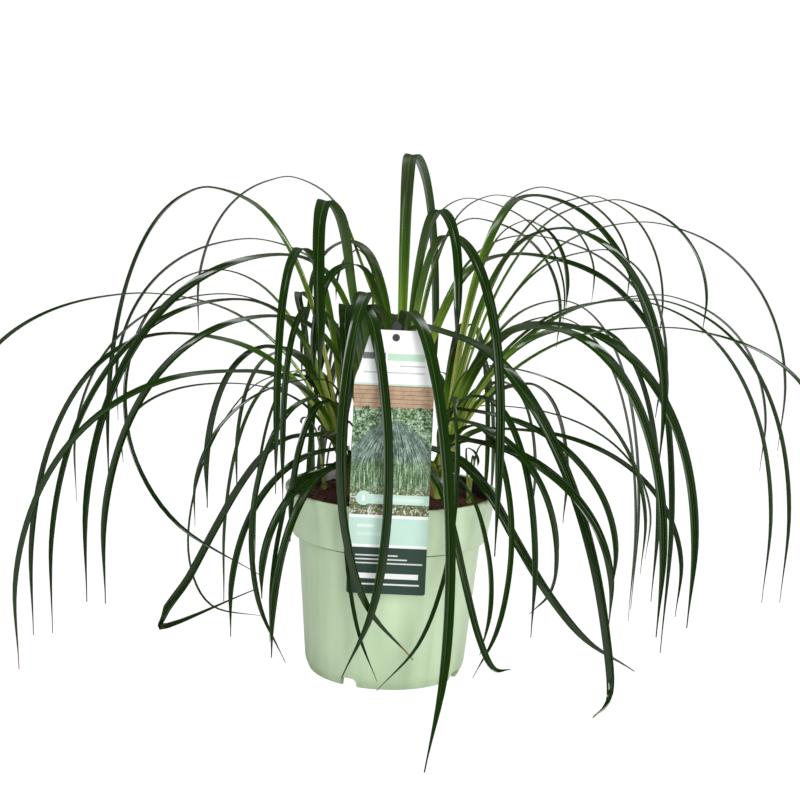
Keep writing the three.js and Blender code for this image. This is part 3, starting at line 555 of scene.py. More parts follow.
class Graph:
    """A tree of nodes, and the one way that nodes are added to it."""

    def __init__(self, tree):
        self.tree = tree

    def node(self, kind, settings=None, sockets=None, output=0):
        """Adds a node: its settings first, then the values or wires of its sockets."""
        made = self.tree.nodes.new(kind)
        for name, value in (settings or {}).items():
            if name == "stops":
                for spare in list(made.color_ramp.elements)[1:]:
                    made.color_ramp.elements.remove(spare)
                made.color_ramp.elements[0].position = value[0][0]
                made.color_ramp.elements[0].color = (*value[0][1], 1)
                for position, colour in value[1:]:
                    made.color_ramp.elements.new(position).color = (*colour, 1)
            else:
                setattr(made, name, value)
        for name, value in (sockets or {}).items():
            self.put(made.inputs[name], value)
        return Wire(self, made.outputs[output])

    def put(self, socket, value):
        if isinstance(value, Wire):
            self.tree.links.new(value.socket, socket)
        elif socket.type == "RGBA":
            socket.default_value = (*value[:3], 1)
        else:
            socket.default_value = value

    def output(self, name, surface):
        """What the tree gives in the end."""
        self.put(self.tree.nodes[name].inputs["Surface"], surface)

    def camera_ray(self):
        return self.node("ShaderNodeLightPath", None, None, output="Is Camera Ray")

    def math(self, operation, *values):
        return self.node("ShaderNodeMath", {"operation": operation}, dict(enumerate(values)))

    def mix(self, share, a, b, blend="MIX"):
        settings = {"data_type": "RGBA", "blend_type": blend}
        return self.node("ShaderNodeMix", settings, {0: share, 6: a, 7: b}, output=2)

    def ramp(self, value, *stops):
        return self.node("ShaderNodeValToRGB", {"stops": stops}, {0: value})

    def scaled(self, colour, share):
        """A colour made lighter or darker."""
        return self.node("ShaderNodeVectorMath", {"operation": "SCALE"}, {0: colour, "Scale": share})

    def parts(self, vector):
        """The three numbers of a vector."""
        split = self.node("ShaderNodeSeparateXYZ", None, {0: vector}).socket.node
        return [Wire(self, socket) for socket in split.outputs]

    def vector(self, x, y, z=0.0):
        return self.node("ShaderNodeCombineXYZ", None, {0: x, 1: y, 2: z})

    def map(self, name):
        """The two numbers of a named map on the mesh."""
        return self.parts(self.node("ShaderNodeUVMap", {"uv_map": name}))[:2]

    def place(self):
        """Where a point lies on the plant, in millimetres."""
        spot = self.node("ShaderNodeTexCoord", None, None, output="Object")
        return self.scaled(spot, 1 / MM)

    def noise(self, place, detail=2.0, roughness=0.5, scale=1.0):
        """Cloudy noise at a place given as a vector or as its parts."""
        vector = place if isinstance(place, Wire) else self.vector(*place)
        sockets = {"Vector": vector, "Scale": scale, "Detail": detail, "Roughness": roughness}
        return self.node("ShaderNodeTexNoise", None, sockets)

    def bump(self, height, distance, strength=1.0):
        """distance is the real height of a step from 0 to 1, in millimetres."""
        sockets = {"Height": height, "Distance": distance * MM, "Strength": strength}
        return self.node("ShaderNodeBump", None, sockets)


class Finish(Graph):
    """A material on one principled shader."""

    def __init__(self, name):
        self.material = bpy.data.materials.new(name)
        self.material.use_nodes = True
        super().__init__(self.material.node_tree)
        self.shader = self.tree.nodes["Principled BSDF"]

    def shade(self, colour, roughness, bump=None, specular=0.5):
        """Sets the shader's own sockets, and gives the material."""
        self.put(self.shader.inputs["Base Color"], colour)
        self.put(self.shader.inputs["Roughness"], roughness)
        self.put(self.shader.inputs["Specular IOR Level"], specular)
        if bump is not None:
            self.put(self.shader.inputs["Normal"], bump)
        return self.material


# --------------------------------------------------------------------------- meshes

def make_piece(name, points, faces, materials, kinds=None, maps=None, sharp=None):
    """A shaded object from points in millimetres. kinds gives each face's material, maps holds
    two numbers for every corner of every face, and sharp marks points along a hard edge."""
    mesh = bpy.data.meshes.new(name)
    faces = [list(map(int, face)) for face in faces]
    mesh.from_pydata((np.asarray(points) * MM).tolist(), [], faces)
    for material in materials:
        mesh.materials.append(material)
    if kinds is not None:
        mesh.polygons.foreach_set("material_index", np.asarray(kinds, np.int32))
    mesh.polygons.foreach_set("use_smooth", np.ones(len(faces), bool))
    for key, corners in (maps or {}).items():
        layer = mesh.uv_layers.new(name=key, do_init=False)
        layer.uv.foreach_set("vector", np.asarray(corners, np.float32).ravel())
    if sharp is not None:
        ends = np.empty(2 * len(mesh.edges), np.int32)
        mesh.edges.foreach_get("vertices", ends)
        ends = sharp[ends.reshape(-1, 2)]
        hard = mesh.attributes.new("sharp_edge", "BOOLEAN", "EDGE")
        hard.data.foreach_set("value", (ends[:, 0] > 0) & (ends[:, 0] == ends[:, 1]))
    made = bpy.data.objects.new(name, mesh)
    bpy.context.scene.collection.objects.link(made)
    return made


def wear(made, slot, *nodes):
    """The piece stands for its nodes, which are hidden, and hangs under the root. Its slot is not used.
    """
    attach(made, "root")
    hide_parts(*nodes)


def cut_from(name, blank, *tools):
    """A new object: the blank with the tools cut out of it. Blank and tools are then gone."""
    for tool in tools:
        step = blank.modifiers.new("cut", "BOOLEAN")
        step.operation, step.solver, step.object = "DIFFERENCE", "EXACT", tool
    bpy.context.view_layer.update()
    shaped = blank.evaluated_get(bpy.context.evaluated_depsgraph_get())
    mesh = bpy.data.meshes.new_from_object(shaped)
    mesh.name = name
    for spare in (blank, *tools):
        bpy.data.objects.remove(spare)
    made = bpy.data.objects.new(name, mesh)
    bpy.context.scene.collection.objects.link(made)
    return made


def rounded(corners, steps=5):
    """A line of (radius, height, fillet) corners with each corner drawn as an arc."""
    line = []
    for i, (r, z, fillet) in enumerate(corners):
        here = np.array([r, z], float)
        if fillet == 0 or i in (0, len(corners) - 1):
            line.append(here)
            continue
        before = np.array(corners[i - 1][:2]) - here
        after = np.array(corners[i + 1][:2]) - here
        a, b = np.linalg.norm(before), np.linalg.norm(after)
        cut = min(fillet, 0.45 * a, 0.45 * b)
        start, end = here + before / a * cut, here + after / b * cut
        for t in np.linspace(0, 1, steps):
            line.append((1 - t) ** 2 * start + 2 * t * (1 - t) * here + t * t * end)
    return np.array(line)


def turned_mesh(line, sides):
    """Points and faces of a solid of revolution whose line starts and ends on the axis."""
    ring = np.linspace(0, 2 * math.pi, sides, endpoint=False)
    circle = np.stack([np.cos(ring), np.sin(ring)], 1)
    inner = line[1:-1]
    body = np.concatenate([circle[None] * inner[:, None, :1],
                           np.repeat(inner[:, None, 1:], sides, 1)], 2)
    ends = [[[0, 0, line[end][1]]] for end in (0, -1)]
    points = np.vstack([ends[0], body.reshape(-1, 3), ends[1]])
    faces = []
    last = len(points) - 1
    for k in range(sides):
        after = (k + 1) % sides
        faces.append((0, 1 + after, 1 + k))
        for row in range(len(inner) - 1):
            low = 1 + row * sides
            faces.append((low + k, low + after, low + sides + after, low + sides + k))
        top = last - sides
        faces.append((top + k, top + after, last))
    return points, faces


def ripples(points, seed, size, count=14):
    """Smooth repeatable unevenness of about -1 to 1, with features of that size."""
    draw = np.random.default_rng(seed)
    waves = draw.normal(size=(count, 3))
    waves /= np.linalg.norm(waves, axis=1, keepdims=True)
    waves *= draw.uniform(0.6, 1.7, (count, 1)) * 2 * math.pi / size
    return np.sin(points @ waves.T + draw.uniform(0, 6.3, count)).sum(-1) / math.sqrt(count) * 0.9


# --------------------------------------------------------------------------- leaf meshes

BLADE_STATIONS = 6  # between two points of a midrib
BLADE_SPOTS = np.array([-1, -0.74, -0.46, -0.18, 0, 0.18, 0.46, 0.74, 1])
# How steeply the two halves of a blade fold up from its keel, in degrees, along the blade.
BLADE_FOLD = ((0, 46), (0.24, 45), (0.34, 22), (0.4, 8), (0.47, 22), (0.6, 40), (1, 46))
BLADE_WING = 1.25  # each half rises from the keel and rounds over towards its margin
BLADE_DEPTH = 0.85
CREST = 0.4  # share of a blade's length at which it arches over
BLADE_LEVEL = (0.75, 0.13)  # how nearly level it lies across there, and for how much of its length
BLADE_SLIM = 6.5  # blades narrower than this thin out there
BLADE_WAIST = (0.55, 0.22)  # by how much, and for how much of their length
OVER_GROUND = 0.3
BLADE_FINEST = 0.3
BLADE_BODY = 0.34  # thickness beside the midrib
BLADE_MARGIN = 0.6  # share of that lost at the margin
BLADE_FULL = 1.2  # half width from which a blade has its full thickness
KEEL = (0.3, 0.16)  # how much thicker the blade is along its keel, and over how much of its half

BAKE_MARGIN = (0.04, 0.01)  # kept free round each strip of the bake map

SHEATH_WRAPS = 9
YOUNG_WRAPS = 5
YOUNG_RADIUS = 5  # a sheath with a smaller radius is a young one
SHEATH_STATIONS = 22
SHEATH_SPOTS = 12
SHEATH_FOOT = -0.5  # where a scale starts, as a share of the sheath's height over the soil
SHEATH_SHORT = 0.45  # how much lower than the innermost the outermost scale ends
SHEATH_SPAN = (150, 50)  # degrees that the innermost scale wraps, and how many fewer the outermost
SHEATH_TIP = (0.62, 1.02, 0.16)  # where a scale starts and ends to narrow, and what stays of it
SHEATH_DRY = (0.55, 0.75)  # from how far out scales can be dry, and how likely it is
SHEATH_THICKNESS = 0.45
SHEATH_RIBS = (9, 0.0175)
# The column's radius, as a share of the sheath's, at shares of its height over the soil.
SHEATH_TAPER = ((-0.7, 1.0), (0.35, 1.0), (0.75, 0.84), (1.0, 0.45), (1.3, 0.4))


def bell(value, middle, spread):
    """1 at the middle, and falling off smoothly to both sides."""
    return np.exp(-((value - middle) / spread) ** 2)


def finer(values, stations):
    """A smooth curve through a row of points, with that many steps from each to the next."""
    ends = np.vstack([2 * values[0] - values[1], values, 2 * values[-1] - values[-2]])
    steps = np.arange((len(values) - 1) * stations + 1) / stations
    here = np.minimum(steps.astype(int), len(values) - 2)
    t = (steps - here)[:, None]
    a, b, c, d = (ends[here + k] for k in range(4))
    curve = 2 * b + (c - a) * t + (2 * a - 5 * b + 4 * c - d) * t**2 + (3 * b - a - 3 * c + d) * t**3
    return curve / 2


def ring_mesh(count, around, turned=False):
    """Faces that join a row of rings and cap both ends, facing the other way if turned. Gives
    with them, for each corner of each face, its ring, its spot in the ring, and which gap
    between two spots the face fills, or -1 on a cap."""
    i, k = (part.ravel() for part in np.indices((count - 1, around)))
    after = (k + 1) % around
    order = [0, 3, 2, 1] if turned else [0, 1, 2, 3]
    rows = np.stack([i, i + 1, i + 1, i], 1)[:, order]
    spots = np.stack([k, k, after, after], 1)[:, order]
    cap = np.arange(around)[::-1 if turned else 1]
    faces = (rows * around + spots).tolist()
    faces += [cap.tolist(), ((count - 1) * around + cap[::-1]).tolist()]
    rows = np.concatenate([rows.ravel(), np.repeat([0, count - 1], around)])
    spots = np.concatenate([spots.ravel(), cap, cap[::-1]])
    gaps = np.concatenate([np.repeat(k, 4), np.full(2 * around, -1)])
    return faces, rows, spots, gaps


class Growth:
    """Collects the blades and sheaths of one shoot into one mesh."""

    def __init__(self):
        self.points, self.faces, self.kinds, self.sharp = [], [], [], []
        self.maps = {"blade": [], "lot": [], "grain": [], "OFBake": []}
        self.count = 0
        self.strips = 0

    def add(self, kind, rings, faces, sharp, along, wide, grain, lot, strip=0):
        """along, wide and both parts of grain and lot hold a number for each corner of the
        faces, or one for them all. strip tells the strips of the bake map apart."""
        edge, end = BAKE_MARGIN
        column = self.strips + strip + edge + (1 - 2 * edge) * wide
        maps = {"blade": (along, wide), "grain": grain, "lot": lot,
                "OFBake": (column, end + (1 - 2 * end) * along)}
        for name, pair in maps.items():
            self.maps[name].append(np.column_stack(np.broadcast_arrays(*pair, along)[:2]))
        self.points.append(rings.reshape(-1, 3))
        self.faces += [[corner + self.count for corner in face] for face in faces]
        self.kinds += [kind] * len(faces)
        self.sharp.append(sharp.ravel())
        self.count += len(self.points[-1])
        self.strips += 1 + int(np.max(strip))

    def finish(self, name, materials):
        """The mesh of all of it, with a column of the bake map for each strip."""
        maps = {key: np.vstack(rows) for key, rows in self.maps.items()}
        maps["OFBake"][:, 0] /= self.strips
        return make_piece(name, np.vstack(self.points), self.faces, materials, self.kinds, maps,
                          np.concatenate(self.sharp))


def blade_points(leaf):
    """The rings of one blade: its points, and how far along and across each lies."""
    centre = finer(leaf["points"], BLADE_STATIONS)
    across = finer(leaf["across"], BLADE_STATIONS)
    count = len(centre)
    tangent = unit(np.gradient(centre, axis=0))
    share = np.arange(count) / (count - 1)
    level = BLADE_LEVEL[0] * bell(share, CREST, BLADE_LEVEL[1])[:, None]
    across = across + (np.cross(UP, tangent) - across) * level
    across = unit(across - tangent * dot(across, tangent)[:, None])
    face = np.cross(tangent, across)
    half = half_width(leaf["width"], share, BLADE_FINEST)
    if leaf["width"] < BLADE_SLIM:
        half *= 1 - BLADE_WAIST[0] * bell(share, CREST, BLADE_WAIST[1])
    spots = np.concatenate([BLADE_SPOTS, BLADE_SPOTS[-2:0:-1]])
    fold = np.radians(np.interp(share, *zip(*BLADE_FOLD)))
    reach = half * np.cos(fold)
    rise = BLADE_DEPTH * (half * np.sin(fold))[:, None] * np.sin(BLADE_WING * np.abs(spots[None]))
    body = BLADE_BODY * (1 - BLADE_MARGIN * spots**2) + KEEL[0] * bell(spots, 0, KEEL[1])
    body = body[None] * np.minimum(1, half[:, None] / BLADE_FULL)
    under = np.arange(len(spots)) >= len(BLADE_SPOTS)
    height = rise - np.where(under[None], body, 0)
    rings = (centre[:, None] + across[:, None] * (reach[:, None] * spots[None])[..., None]
             + face[:, None] * height[..., None])
    rings[..., 2] += np.maximum(0, OVER_GROUND - rings[..., 2].min(1))[:, None]
    length = np.concatenate([[0], np.cumsum(np.linalg.norm(np.diff(centre, axis=0), axis=1))])
    return rings, share, spots, half, length


def add_blade(growth, leaf, draw):
    """A keeled blade, with hard edges along both margins and both sides of its keel."""
    rings, share, spots, half, length = blade_points(leaf)
    count, around = rings.shape[:2]
    faces, rows, corners, gaps = ring_mesh(count, around)
    cap, below = gaps < 0, gaps >= len(BLADE_SPOTS) - 1
    wide = np.where(cap, 0.5, (spots[corners] + 1) / 2)
    grain = length[rows], np.where(cap, 0, spots[corners] * half[rows])
    margin, keel = len(BLADE_SPOTS) - 1, len(BLADE_SPOTS) // 2
    sharp = np.zeros((count, around), int)
    for number, corner in enumerate((0, keel, margin, margin + keel)):
        sharp[:, corner] = number + 1
    growth.add(0, rings, faces, sharp, share[rows], wide, grain, (draw.uniform(0, 1), below), below)


def add_sheath(growth, shoot, draw):
    """Leaf feet wrapped round each other: each a curved scale, from wide at its foot to a narrow end,
    the outer ones short and dry."""
    at, radius, sheath, _, _ = SHOOTS[shoot]
    share = np.linspace(0, 1, SHEATH_STATIONS)
    spot = np.linspace(-1, 1, SHEATH_SPOTS)
    spots = np.concatenate([spot, spot[::-1]])
    ribs = 1 + SHEATH_RIBS[1] * np.cos(spot * SHEATH_RIBS[0] * math.pi)
    faces, rows, corners, gaps = ring_mesh(SHEATH_STATIONS, len(spots), turned=True)
    along, wide = share[rows], np.where(gaps < 0, 0.5, (spots[corners] + 1) / 2)
    for wrap in range(SHEATH_WRAPS if radius > YOUNG_RADIUS else YOUNG_WRAPS):
        outer = wrap / (SHEATH_WRAPS - 1)
        dry = outer > SHEATH_DRY[0] and draw.uniform() < SHEATH_DRY[1]
        high = (1 - SHEATH_SHORT * outer) * draw.uniform(0.92, 1.08)
        span = math.radians(SHEATH_SPAN[0] - SHEATH_SPAN[1] * outer) * draw.uniform(0.85, 1.1)
        start = draw.uniform(0, 2 * math.pi)
        height = SHEATH_FOOT + (high - SHEATH_FOOT) * share
        width = span * (1 - smooth(share, *SHEATH_TIP[:2])) + SHEATH_TIP[2]
        size = radius * np.interp(height, *zip(*SHEATH_TAPER)) * (0.72 + 0.3 * outer)
        flare = 0.14 * outer * smooth(share, 0.6, 1) * radius
        lean = 0.25 * share[:, None] * draw.uniform(-1, 1)
        angle = start + spot[None] * width[:, None] / 2 + lean
        middle = (size + flare)[:, None] * ribs[None]
        shell = []
        for inward in (0, SHEATH_THICKNESS):
            r = middle - inward * (1 - 0.5 * spot[None] ** 2)
            z = SOIL_TOP + np.broadcast_to((sheath * height)[:, None], r.shape)
            shell.append(np.stack([at[0] + r * np.cos(angle), at[1] + r * np.sin(angle), z], 2))
        rings = np.concatenate([shell[0], shell[1][:, ::-1]], 1)
        length = sheath * (high - SHEATH_FOOT) * along
        grain = np.where(gaps < 0, 0, length), np.where(gaps < 0, 0, radius * wide)
        growth.add(1, rings, faces, np.zeros(rings.shape[:2], int), along, wide, grain,
                   (draw.uniform(0, 1), float(dry)))


def leaf_material(look):
    finish = Finish("sedge_leaf")
    along, across = finish.map("blade")
    tone, under = finish.map("lot")
    length, side = finish.map("grain")
    light = finish.noise((length * 0.012, side * 0.25, tone * 60), 3.0)
    grown = along + (tone - 0.5) * 0.12 + (light - 0.5) * 0.14
    green = finish.ramp(grown, (0.07, look.foot), (0.135, look.young), (0.21, look.rise),
                        (0.31, look.crest), (0.48, look.blade), (1.0, look.blade))
    pale = finish.mix(0.5, green, look.rise)
    green = finish.mix(under * 0.55, green, pale)
    bands = finish.noise((length * 0.003, across * 7, tone * 20))
    veins = finish.noise((length * 0.006, across * 24, tone * 20), 1.0)
    green = finish.scaled(green, 0.5 + bands * 0.6 + veins * 0.4 + (tone - 0.5) * 0.3)
    midrib = 1 - abs(across - 0.5).step(0.012, 0.034)
    green = finish.mix(midrib * 0.6 * along.step(0.1, 0.4), green, look.midrib)
    blotch = finish.noise((length * 0.09, side * 0.8, tone * 33), 4.0, 0.7)
    worn = blotch.step(0.66, 0.8) * 0.3
    green = finish.mix(worn, green, look.dry)
    withered = 0.975 + 0.03 * (1 - tone.step(0.84, 0.88))
    end = (along - withered + (blotch - 0.5) * 0.02).step(-0.006, 0.006)
    colour = finish.mix(end, green, look.dry)
    height = finish.noise((length * 0.012, side * 0.9, tone * 20), 1.0)
    bump = finish.bump(height, look.vein_relief / MM, 0.3)
    matt = along.step(0.22, 0.36) * (1 - along.step(0.42, 0.52))
    roughness = look.roughness + (light - 0.5) * 0.16 + end * 0.3 + under * 0.06 + matt * 0.34
    return finish.shade(colour, roughness, bump, 0.32)


def sheath_material(look):
    finish = Finish("sedge_sheath")
    along, across = finish.map("blade")
    tone, dry = finish.map("lot")
    length, _ = finish.map("grain")
    streak = finish.noise((length * 0.05, across * 30, tone * 50), 3.0, 0.6)
    green = finish.ramp(along + (tone - 0.5) * 0.3 + (streak - 0.5) * 0.25, (0.0, look.husk),
                        (0.35, look.foot), (0.7, look.young), (1.0, look.rise))
    brown = finish.ramp(streak + (along - 0.5) * 0.3, (0.25, look.husk), (0.5, look.dry),
                        (0.8, look.straw))
    colour = finish.mix(dry, green, brown)
    height = finish.noise((length * 0.03, across * 46, tone * 50))
    bump = finish.bump(height, look.vein_relief / MM * 1.6, 0.8)
    roughness = 0.42 + dry * 0.3 + (streak - 0.5) * 0.2
    return finish.shade(colour, roughness, bump)


# --------------------------------------------------------------------------- pot and soil

DRAIN_TURN = 20  # degrees from the frame's x axis to the first drain hole
SOIL_SIDES = 150
SOIL_RINGS = 62
GRANULES = 900
CHIPS = 90


def pot_section():
    under = [(0, 0, 0), (SEAT_RADIUS, 0, 1), (SEAT_RADIUS + 2, FLOOR, 1),
             (FOOT_RADIUS - 4.5, FLOOR, 1), (FOOT_RADIUS - 3.5, 0, 0.6)]
    outside = [(FOOT_RADIUS, 0, 1.4), (BODY_FOOT_RADIUS - 0.6, 9, 4),
               (BODY_FOOT_RADIUS, BODY_FOOT, 6), (BODY_TOP_RADIUS, COLLAR_FOOT - 1, 0.3),
               (COLLAR_FOOT_RADIUS, COLLAR_FOOT, 0.7), (COLLAR_TOP_RADIUS, POT_HEIGHT - LIP - 1, 0.6),
               (RIM_RADIUS, POT_HEIGHT - LIP, 0.6), (RIM_RADIUS, POT_HEIGHT, 1.3)]
    inside = [(COLLAR_TOP_RADIUS - WALL, POT_HEIGHT, 0.9),
              (COLLAR_FOOT_RADIUS - WALL, COLLAR_FOOT + 2, 2),
              (BODY_TOP_RADIUS - WALL, COLLAR_FOOT - 4, 2), (BODY_FOOT_RADIUS - WALL, BODY_FOOT, 3),
              (BODY_FOOT_RADIUS - WALL - 1.4, FLOOR + WALL, 1),
              (SEAT_RADIUS + 2 - WALL, FLOOR + WALL, 1), (SEAT_RADIUS - WALL, WALL, 1), (0, WALL, 0)]
    return rounded(under + outside + inside)


def notch_tool(angle):
    """A block with a round-shouldered top, for one drainage notch in the foot."""
    half, shoulder = NOTCH["width"] / 2, NOTCH["shoulder"]
    top = FLOOR - NOTCH["under_floor"]
    side = [(-half, -5), (half, -5)]
    for t in np.linspace(0, math.pi / 2, 6):
        side.append((half - shoulder * (1 - math.cos(t)), top - shoulder * (1 - math.sin(t))))
    side += [(-y, z) for y, z in side[:1:-1]]
    near, far = FOOT_RADIUS - NOTCH["reach"], FOOT_RADIUS + NOTCH["reach"]
    points = np.array([(x, y, z) for x in (near, far) for y, z in side])
    count = len(side)
    faces = [list(range(count))[::-1], list(range(count, 2 * count))]
    faces += [(k, (k + 1) % count, count + (k + 1) % count, count + k) for k in range(count)]
    turn = np.array([[math.cos(angle), math.sin(angle), 0], [-math.sin(angle), math.cos(angle), 0],
                     [0, 0, 1]])
    return make_piece("notch", points @ turn, faces, [])


def face_values(mesh, key):
    values = np.empty(3 * len(mesh.polygons))
    mesh.polygons.foreach_get(key, values)
    return values.reshape(-1, 3)


def make_pot(materials, sides):
    points, faces = turned_mesh(pot_section(), sides)
    pot = make_piece("pot_blank", points, faces, materials)
    tools = [notch_tool(math.radians(angle)) for angle in NOTCH_ANGLES]
    for i in range(DRAIN_COUNT):
        angle = math.radians(360 * i / DRAIN_COUNT + DRAIN_TURN)
        post = [(0, -5), (DRAIN_RADIUS, -5), (DRAIN_RADIUS, 2 * FLOOR), (0, 2 * FLOOR)]
        points, faces = turned_mesh(np.array(post, float), 24)
        points += [DRAIN_RING * math.cos(angle), DRAIN_RING * math.sin(angle), 0]
        tools.append(make_piece("drain", points, faces, []))
    made = cut_from("nursery_pot", pot, *tools)
    mesh = made.data
    centre, normal = face_values(mesh, "center") / MM, face_values(mesh, "normal")
    outward = dot(centre[:, :2], normal[:, :2]) > 0
    height = centre[:, 2]
    # The lining is what faces the axis over the floor and the floor's own top, under the rim.
    inner = ~outward & (height > FLOOR) | (height > FLOOR + 0.5) & (normal[:, 2] > 0.9)
    inner &= (height < POT_HEIGHT - 1.6) & (np.linalg.norm(centre[:, :2], axis=1) < RIM_RADIUS - 1)
    mesh.polygons.foreach_set("material_index", inner.astype(np.int32))
    mesh.polygons.foreach_set("use_smooth", np.ones(len(mesh.polygons), bool))
    mesh.set_sharp_from_angle(angle=math.radians(50))
    return made


def pot_outside_material(look):
    finish = Finish("sage_plastic")
    x, y, z = finish.parts(finish.place())
    around = finish.math("ARCTAN2", y, x)
    streak = finish.noise((around * 4.2, z * 0.004))
    cloud = finish.noise((around * 1.3, z * 0.02, 4.0))
    colour = finish.ramp(streak, (0.2, look.shade), (0.5, look.outside), (0.9, look.light))
    colour = finish.mix(cloud.step(0.42, 0.7) * 0.3, colour, look.light)
    lower = 1 - z.step(6.0, 30.0)
    dust = finish.noise((around * 30, z * 0.12, 9.0), 4.0, 0.7)
    colour = finish.mix(lower * dust.step(0.45, 0.75) * 0.4, colour, look.dust)
    # Painted shade: a dark band just under the collar's ledge.
    seam = 1 - abs(z - (COLLAR_FOOT - 0.6)).step(0.4, 1.6)
    colour = finish.mix(seam * 0.7, colour, look.seam)
    skin = finish.noise((x * 0.9, y * 0.9, z * 0.9))
    flow = finish.noise((around * 26, z * 0.03, 2.0))
    bump = finish.bump(flow * 0.7 + skin * 0.3, 0.08, 0.5)
    roughness = look.roughness + (streak - 0.5) * 0.14 + lower * 0.12
    return finish.shade(colour, roughness, bump)


def pot_inside_material(look):
    finish = Finish("black_lining")
    x, y, z = finish.parts(finish.place())
    around = finish.math("ARCTAN2", y, x)
    # Painted highlight: noisy patches of lighter grey, which also change the roughness, stand for
    # glints on the glossy black lining.
    glint_patches = finish.noise((around * 9, z * 0.05), 4.0, 0.65)
    soiled = finish.noise((x * 0.08, y * 0.08, z * 0.25), 5.0, 0.7)
    mud = soiled.step(0.5, 0.72) * (1 - z.step(SOIL_TOP, SOIL_TOP + 8))
    colour = finish.mix(glint_patches * 0.6, look.inside, look.glint)
    colour = finish.mix(mud * 0.7, colour, look.mud)
    bump = finish.bump(finish.noise((around * 40, z * 0.08, 2.0)), 0.1, 0.5)
    roughness = 0.2 + (glint_patches - 0.5) * 0.2 + mud * 0.5
    return finish.shade(colour, roughness, bump)


def inside_radius(height):
    """The radius of the pot's inner face, which is one cone in the body and one in the collar."""
    if height > COLLAR_FOOT + 2:
        share = (height - COLLAR_FOOT - 2) / (POT_HEIGHT - COLLAR_FOOT - 2)
        return COLLAR_FOOT_RADIUS + (COLLAR_TOP_RADIUS - COLLAR_FOOT_RADIUS) * share - WALL
    share = (height - BODY_FOOT) / (COLLAR_FOOT - 4 - BODY_FOOT)
    return BODY_FOOT_RADIUS + (BODY_TOP_RADIUS - BODY_FOOT_RADIUS) * share - WALL


def soil_height(x, y):
    """The soil's surface: gently uneven, rough, and banked up against each sheath."""
    waves = np.sin(x / 17 + 1.3) * np.cos(y / 21 - 0.4) + 0.6 * np.sin((x + y) / 11)
    level = SOIL_TOP + SOIL_SWELL * waves / 1.6
    spot = np.stack([x, y, x * 0], -1)
    rough = ripples(spot, 3, 9.0) * 0.7 + ripples(spot, 4, 3.5) * 0.35
    for at, radius, _, _, _ in SHOOTS.values():
        away = np.hypot(x - at[0], y - at[1]) - radius
        level = level + 2.5 * np.exp(-(away / 7) ** 2)
    return level + rough


def soil_body():
    """The mass of the mix, with its rough top drawn ring by ring."""
    edge = inside_radius(SOIL_TOP) - GAP
    floor = FLOOR + WALL + GAP
    section = [(0, WALL + GAP), (SEAT_RADIUS - WALL - GAP, WALL + GAP),
               (SEAT_RADIUS + 2 - WALL - GAP, floor),
               (BODY_FOOT_RADIUS - WALL - 1.4 - 2 * GAP, floor),
               (inside_radius(BODY_FOOT) - GAP, BODY_FOOT),
               (inside_radius(COLLAR_FOOT - 4) - GAP, COLLAR_FOOT - 4),
               (inside_radius(COLLAR_FOOT + 2.1) - 2 * GAP, COLLAR_FOOT + 2)]
    section += [(edge * ring / SOIL_RINGS, SOIL_TOP) for ring in range(SOIL_RINGS, -1, -1)]
    points, faces = turned_mesh(np.array(section, float), SOIL_SIDES)
    top = points[:, 2] > SOIL_TOP - 0.01
    points[top, 2] = soil_height(points[top, 0], points[top, 1])
    return points, faces


def lump(draw, size, squash, detail):
    """One crumb of the mix: a rough pebble, or a flat splinter of bark."""
    ball = bmesh.new()
    bmesh.ops.create_icosphere(ball, subdivisions=detail, radius=1)
    points = np.array([v.co for v in ball.verts])
    faces = [[v.index for v in f.verts] for f in ball.faces]
    ball.free()
    points *= 1 + 0.3 * ripples(points, int(draw.integers(1 << 30)), 1.3)[:, None]
    points *= size * np.array([1, draw.uniform(0.6, 1), draw.uniform(0.5, 0.9)]) * squash
    a, b = draw.uniform(0, 2 * math.pi), draw.uniform(-0.6, 0.6)
    turn = Matrix.Rotation(a, 3, "Z") @ Matrix.Rotation(b, 3, "X")
    return points @ np.array(turn).T, faces


def make_soil(materials):
    draw = np.random.default_rng(7)
    points, faces = soil_body()
    stack = [points]
    lots = [np.tile([0.5, 0.0], (sum(map(len, faces)), 1))]
    count = len(points)
    edge = inside_radius(SOIL_TOP) - 1.5
    for i in range(GRANULES + CHIPS):
        chip = i >= GRANULES
        size = draw.uniform(2.2, 5.5) if chip else 0.7 + 1.9 * draw.uniform() ** 2
        squash = (1, draw.uniform(0.3, 0.6), 0.3) if chip else (1, 1, 1)
        body, shape = lump(draw, size, squash, 1 if size < 1.2 else 2)
        r, angle = (edge - size) * math.sqrt(draw.uniform()), draw.uniform(0, 2 * math.pi)
        x, y = r * math.cos(angle), r * math.sin(angle)
        if any(math.hypot(x - at[0], y - at[1]) < radius for at, radius, *_ in SHOOTS.values()):
            continue
        height = float(soil_height(np.array(x), np.array(y)))
        stack.append(body + [x, y, height + size * draw.uniform(-0.15, 0.3)])
        faces += [[corner + count for corner in face] for face in shape]
        lots.append(np.tile([draw.uniform(0, 1), 1.0 if chip else 0.5], (3 * len(shape), 1)))
        count += len(body)
    return make_piece("potting_soil", np.vstack(stack), faces, materials,
                      maps={"lot": np.vstack(lots)})


def soil_material(look):
    finish = Finish("potting_mix")
    x, y, z = finish.parts(finish.place())
    tone, kind = finish.map("lot")
    spot = finish.vector(x, y, z)
    coarse = finish.noise(spot, 5.0, 0.7, scale=0.16)
    fine = finish.noise(spot, 4.0, 0.7, scale=1.3)
    colour = finish.ramp(coarse + (tone - 0.5) * 0.35, (0.3, look.dark), (0.55, look.mix),
                         (0.8, look.light))
    colour = finish.mix(fine.step(0.4, 0.75) * 0.5, colour, look.fibre)
    colour = finish.mix(kind.step(0.8, 0.9) * 0.6, colour, look.bark)
    bump = finish.bump(fine + coarse * 0.4, 1.2, 0.9)
    roughness = 0.8 + (fine - 0.5) * 0.3
    return finish.shade(colour, roughness, bump)


# --------------------------------------------------------------------------- label and stake

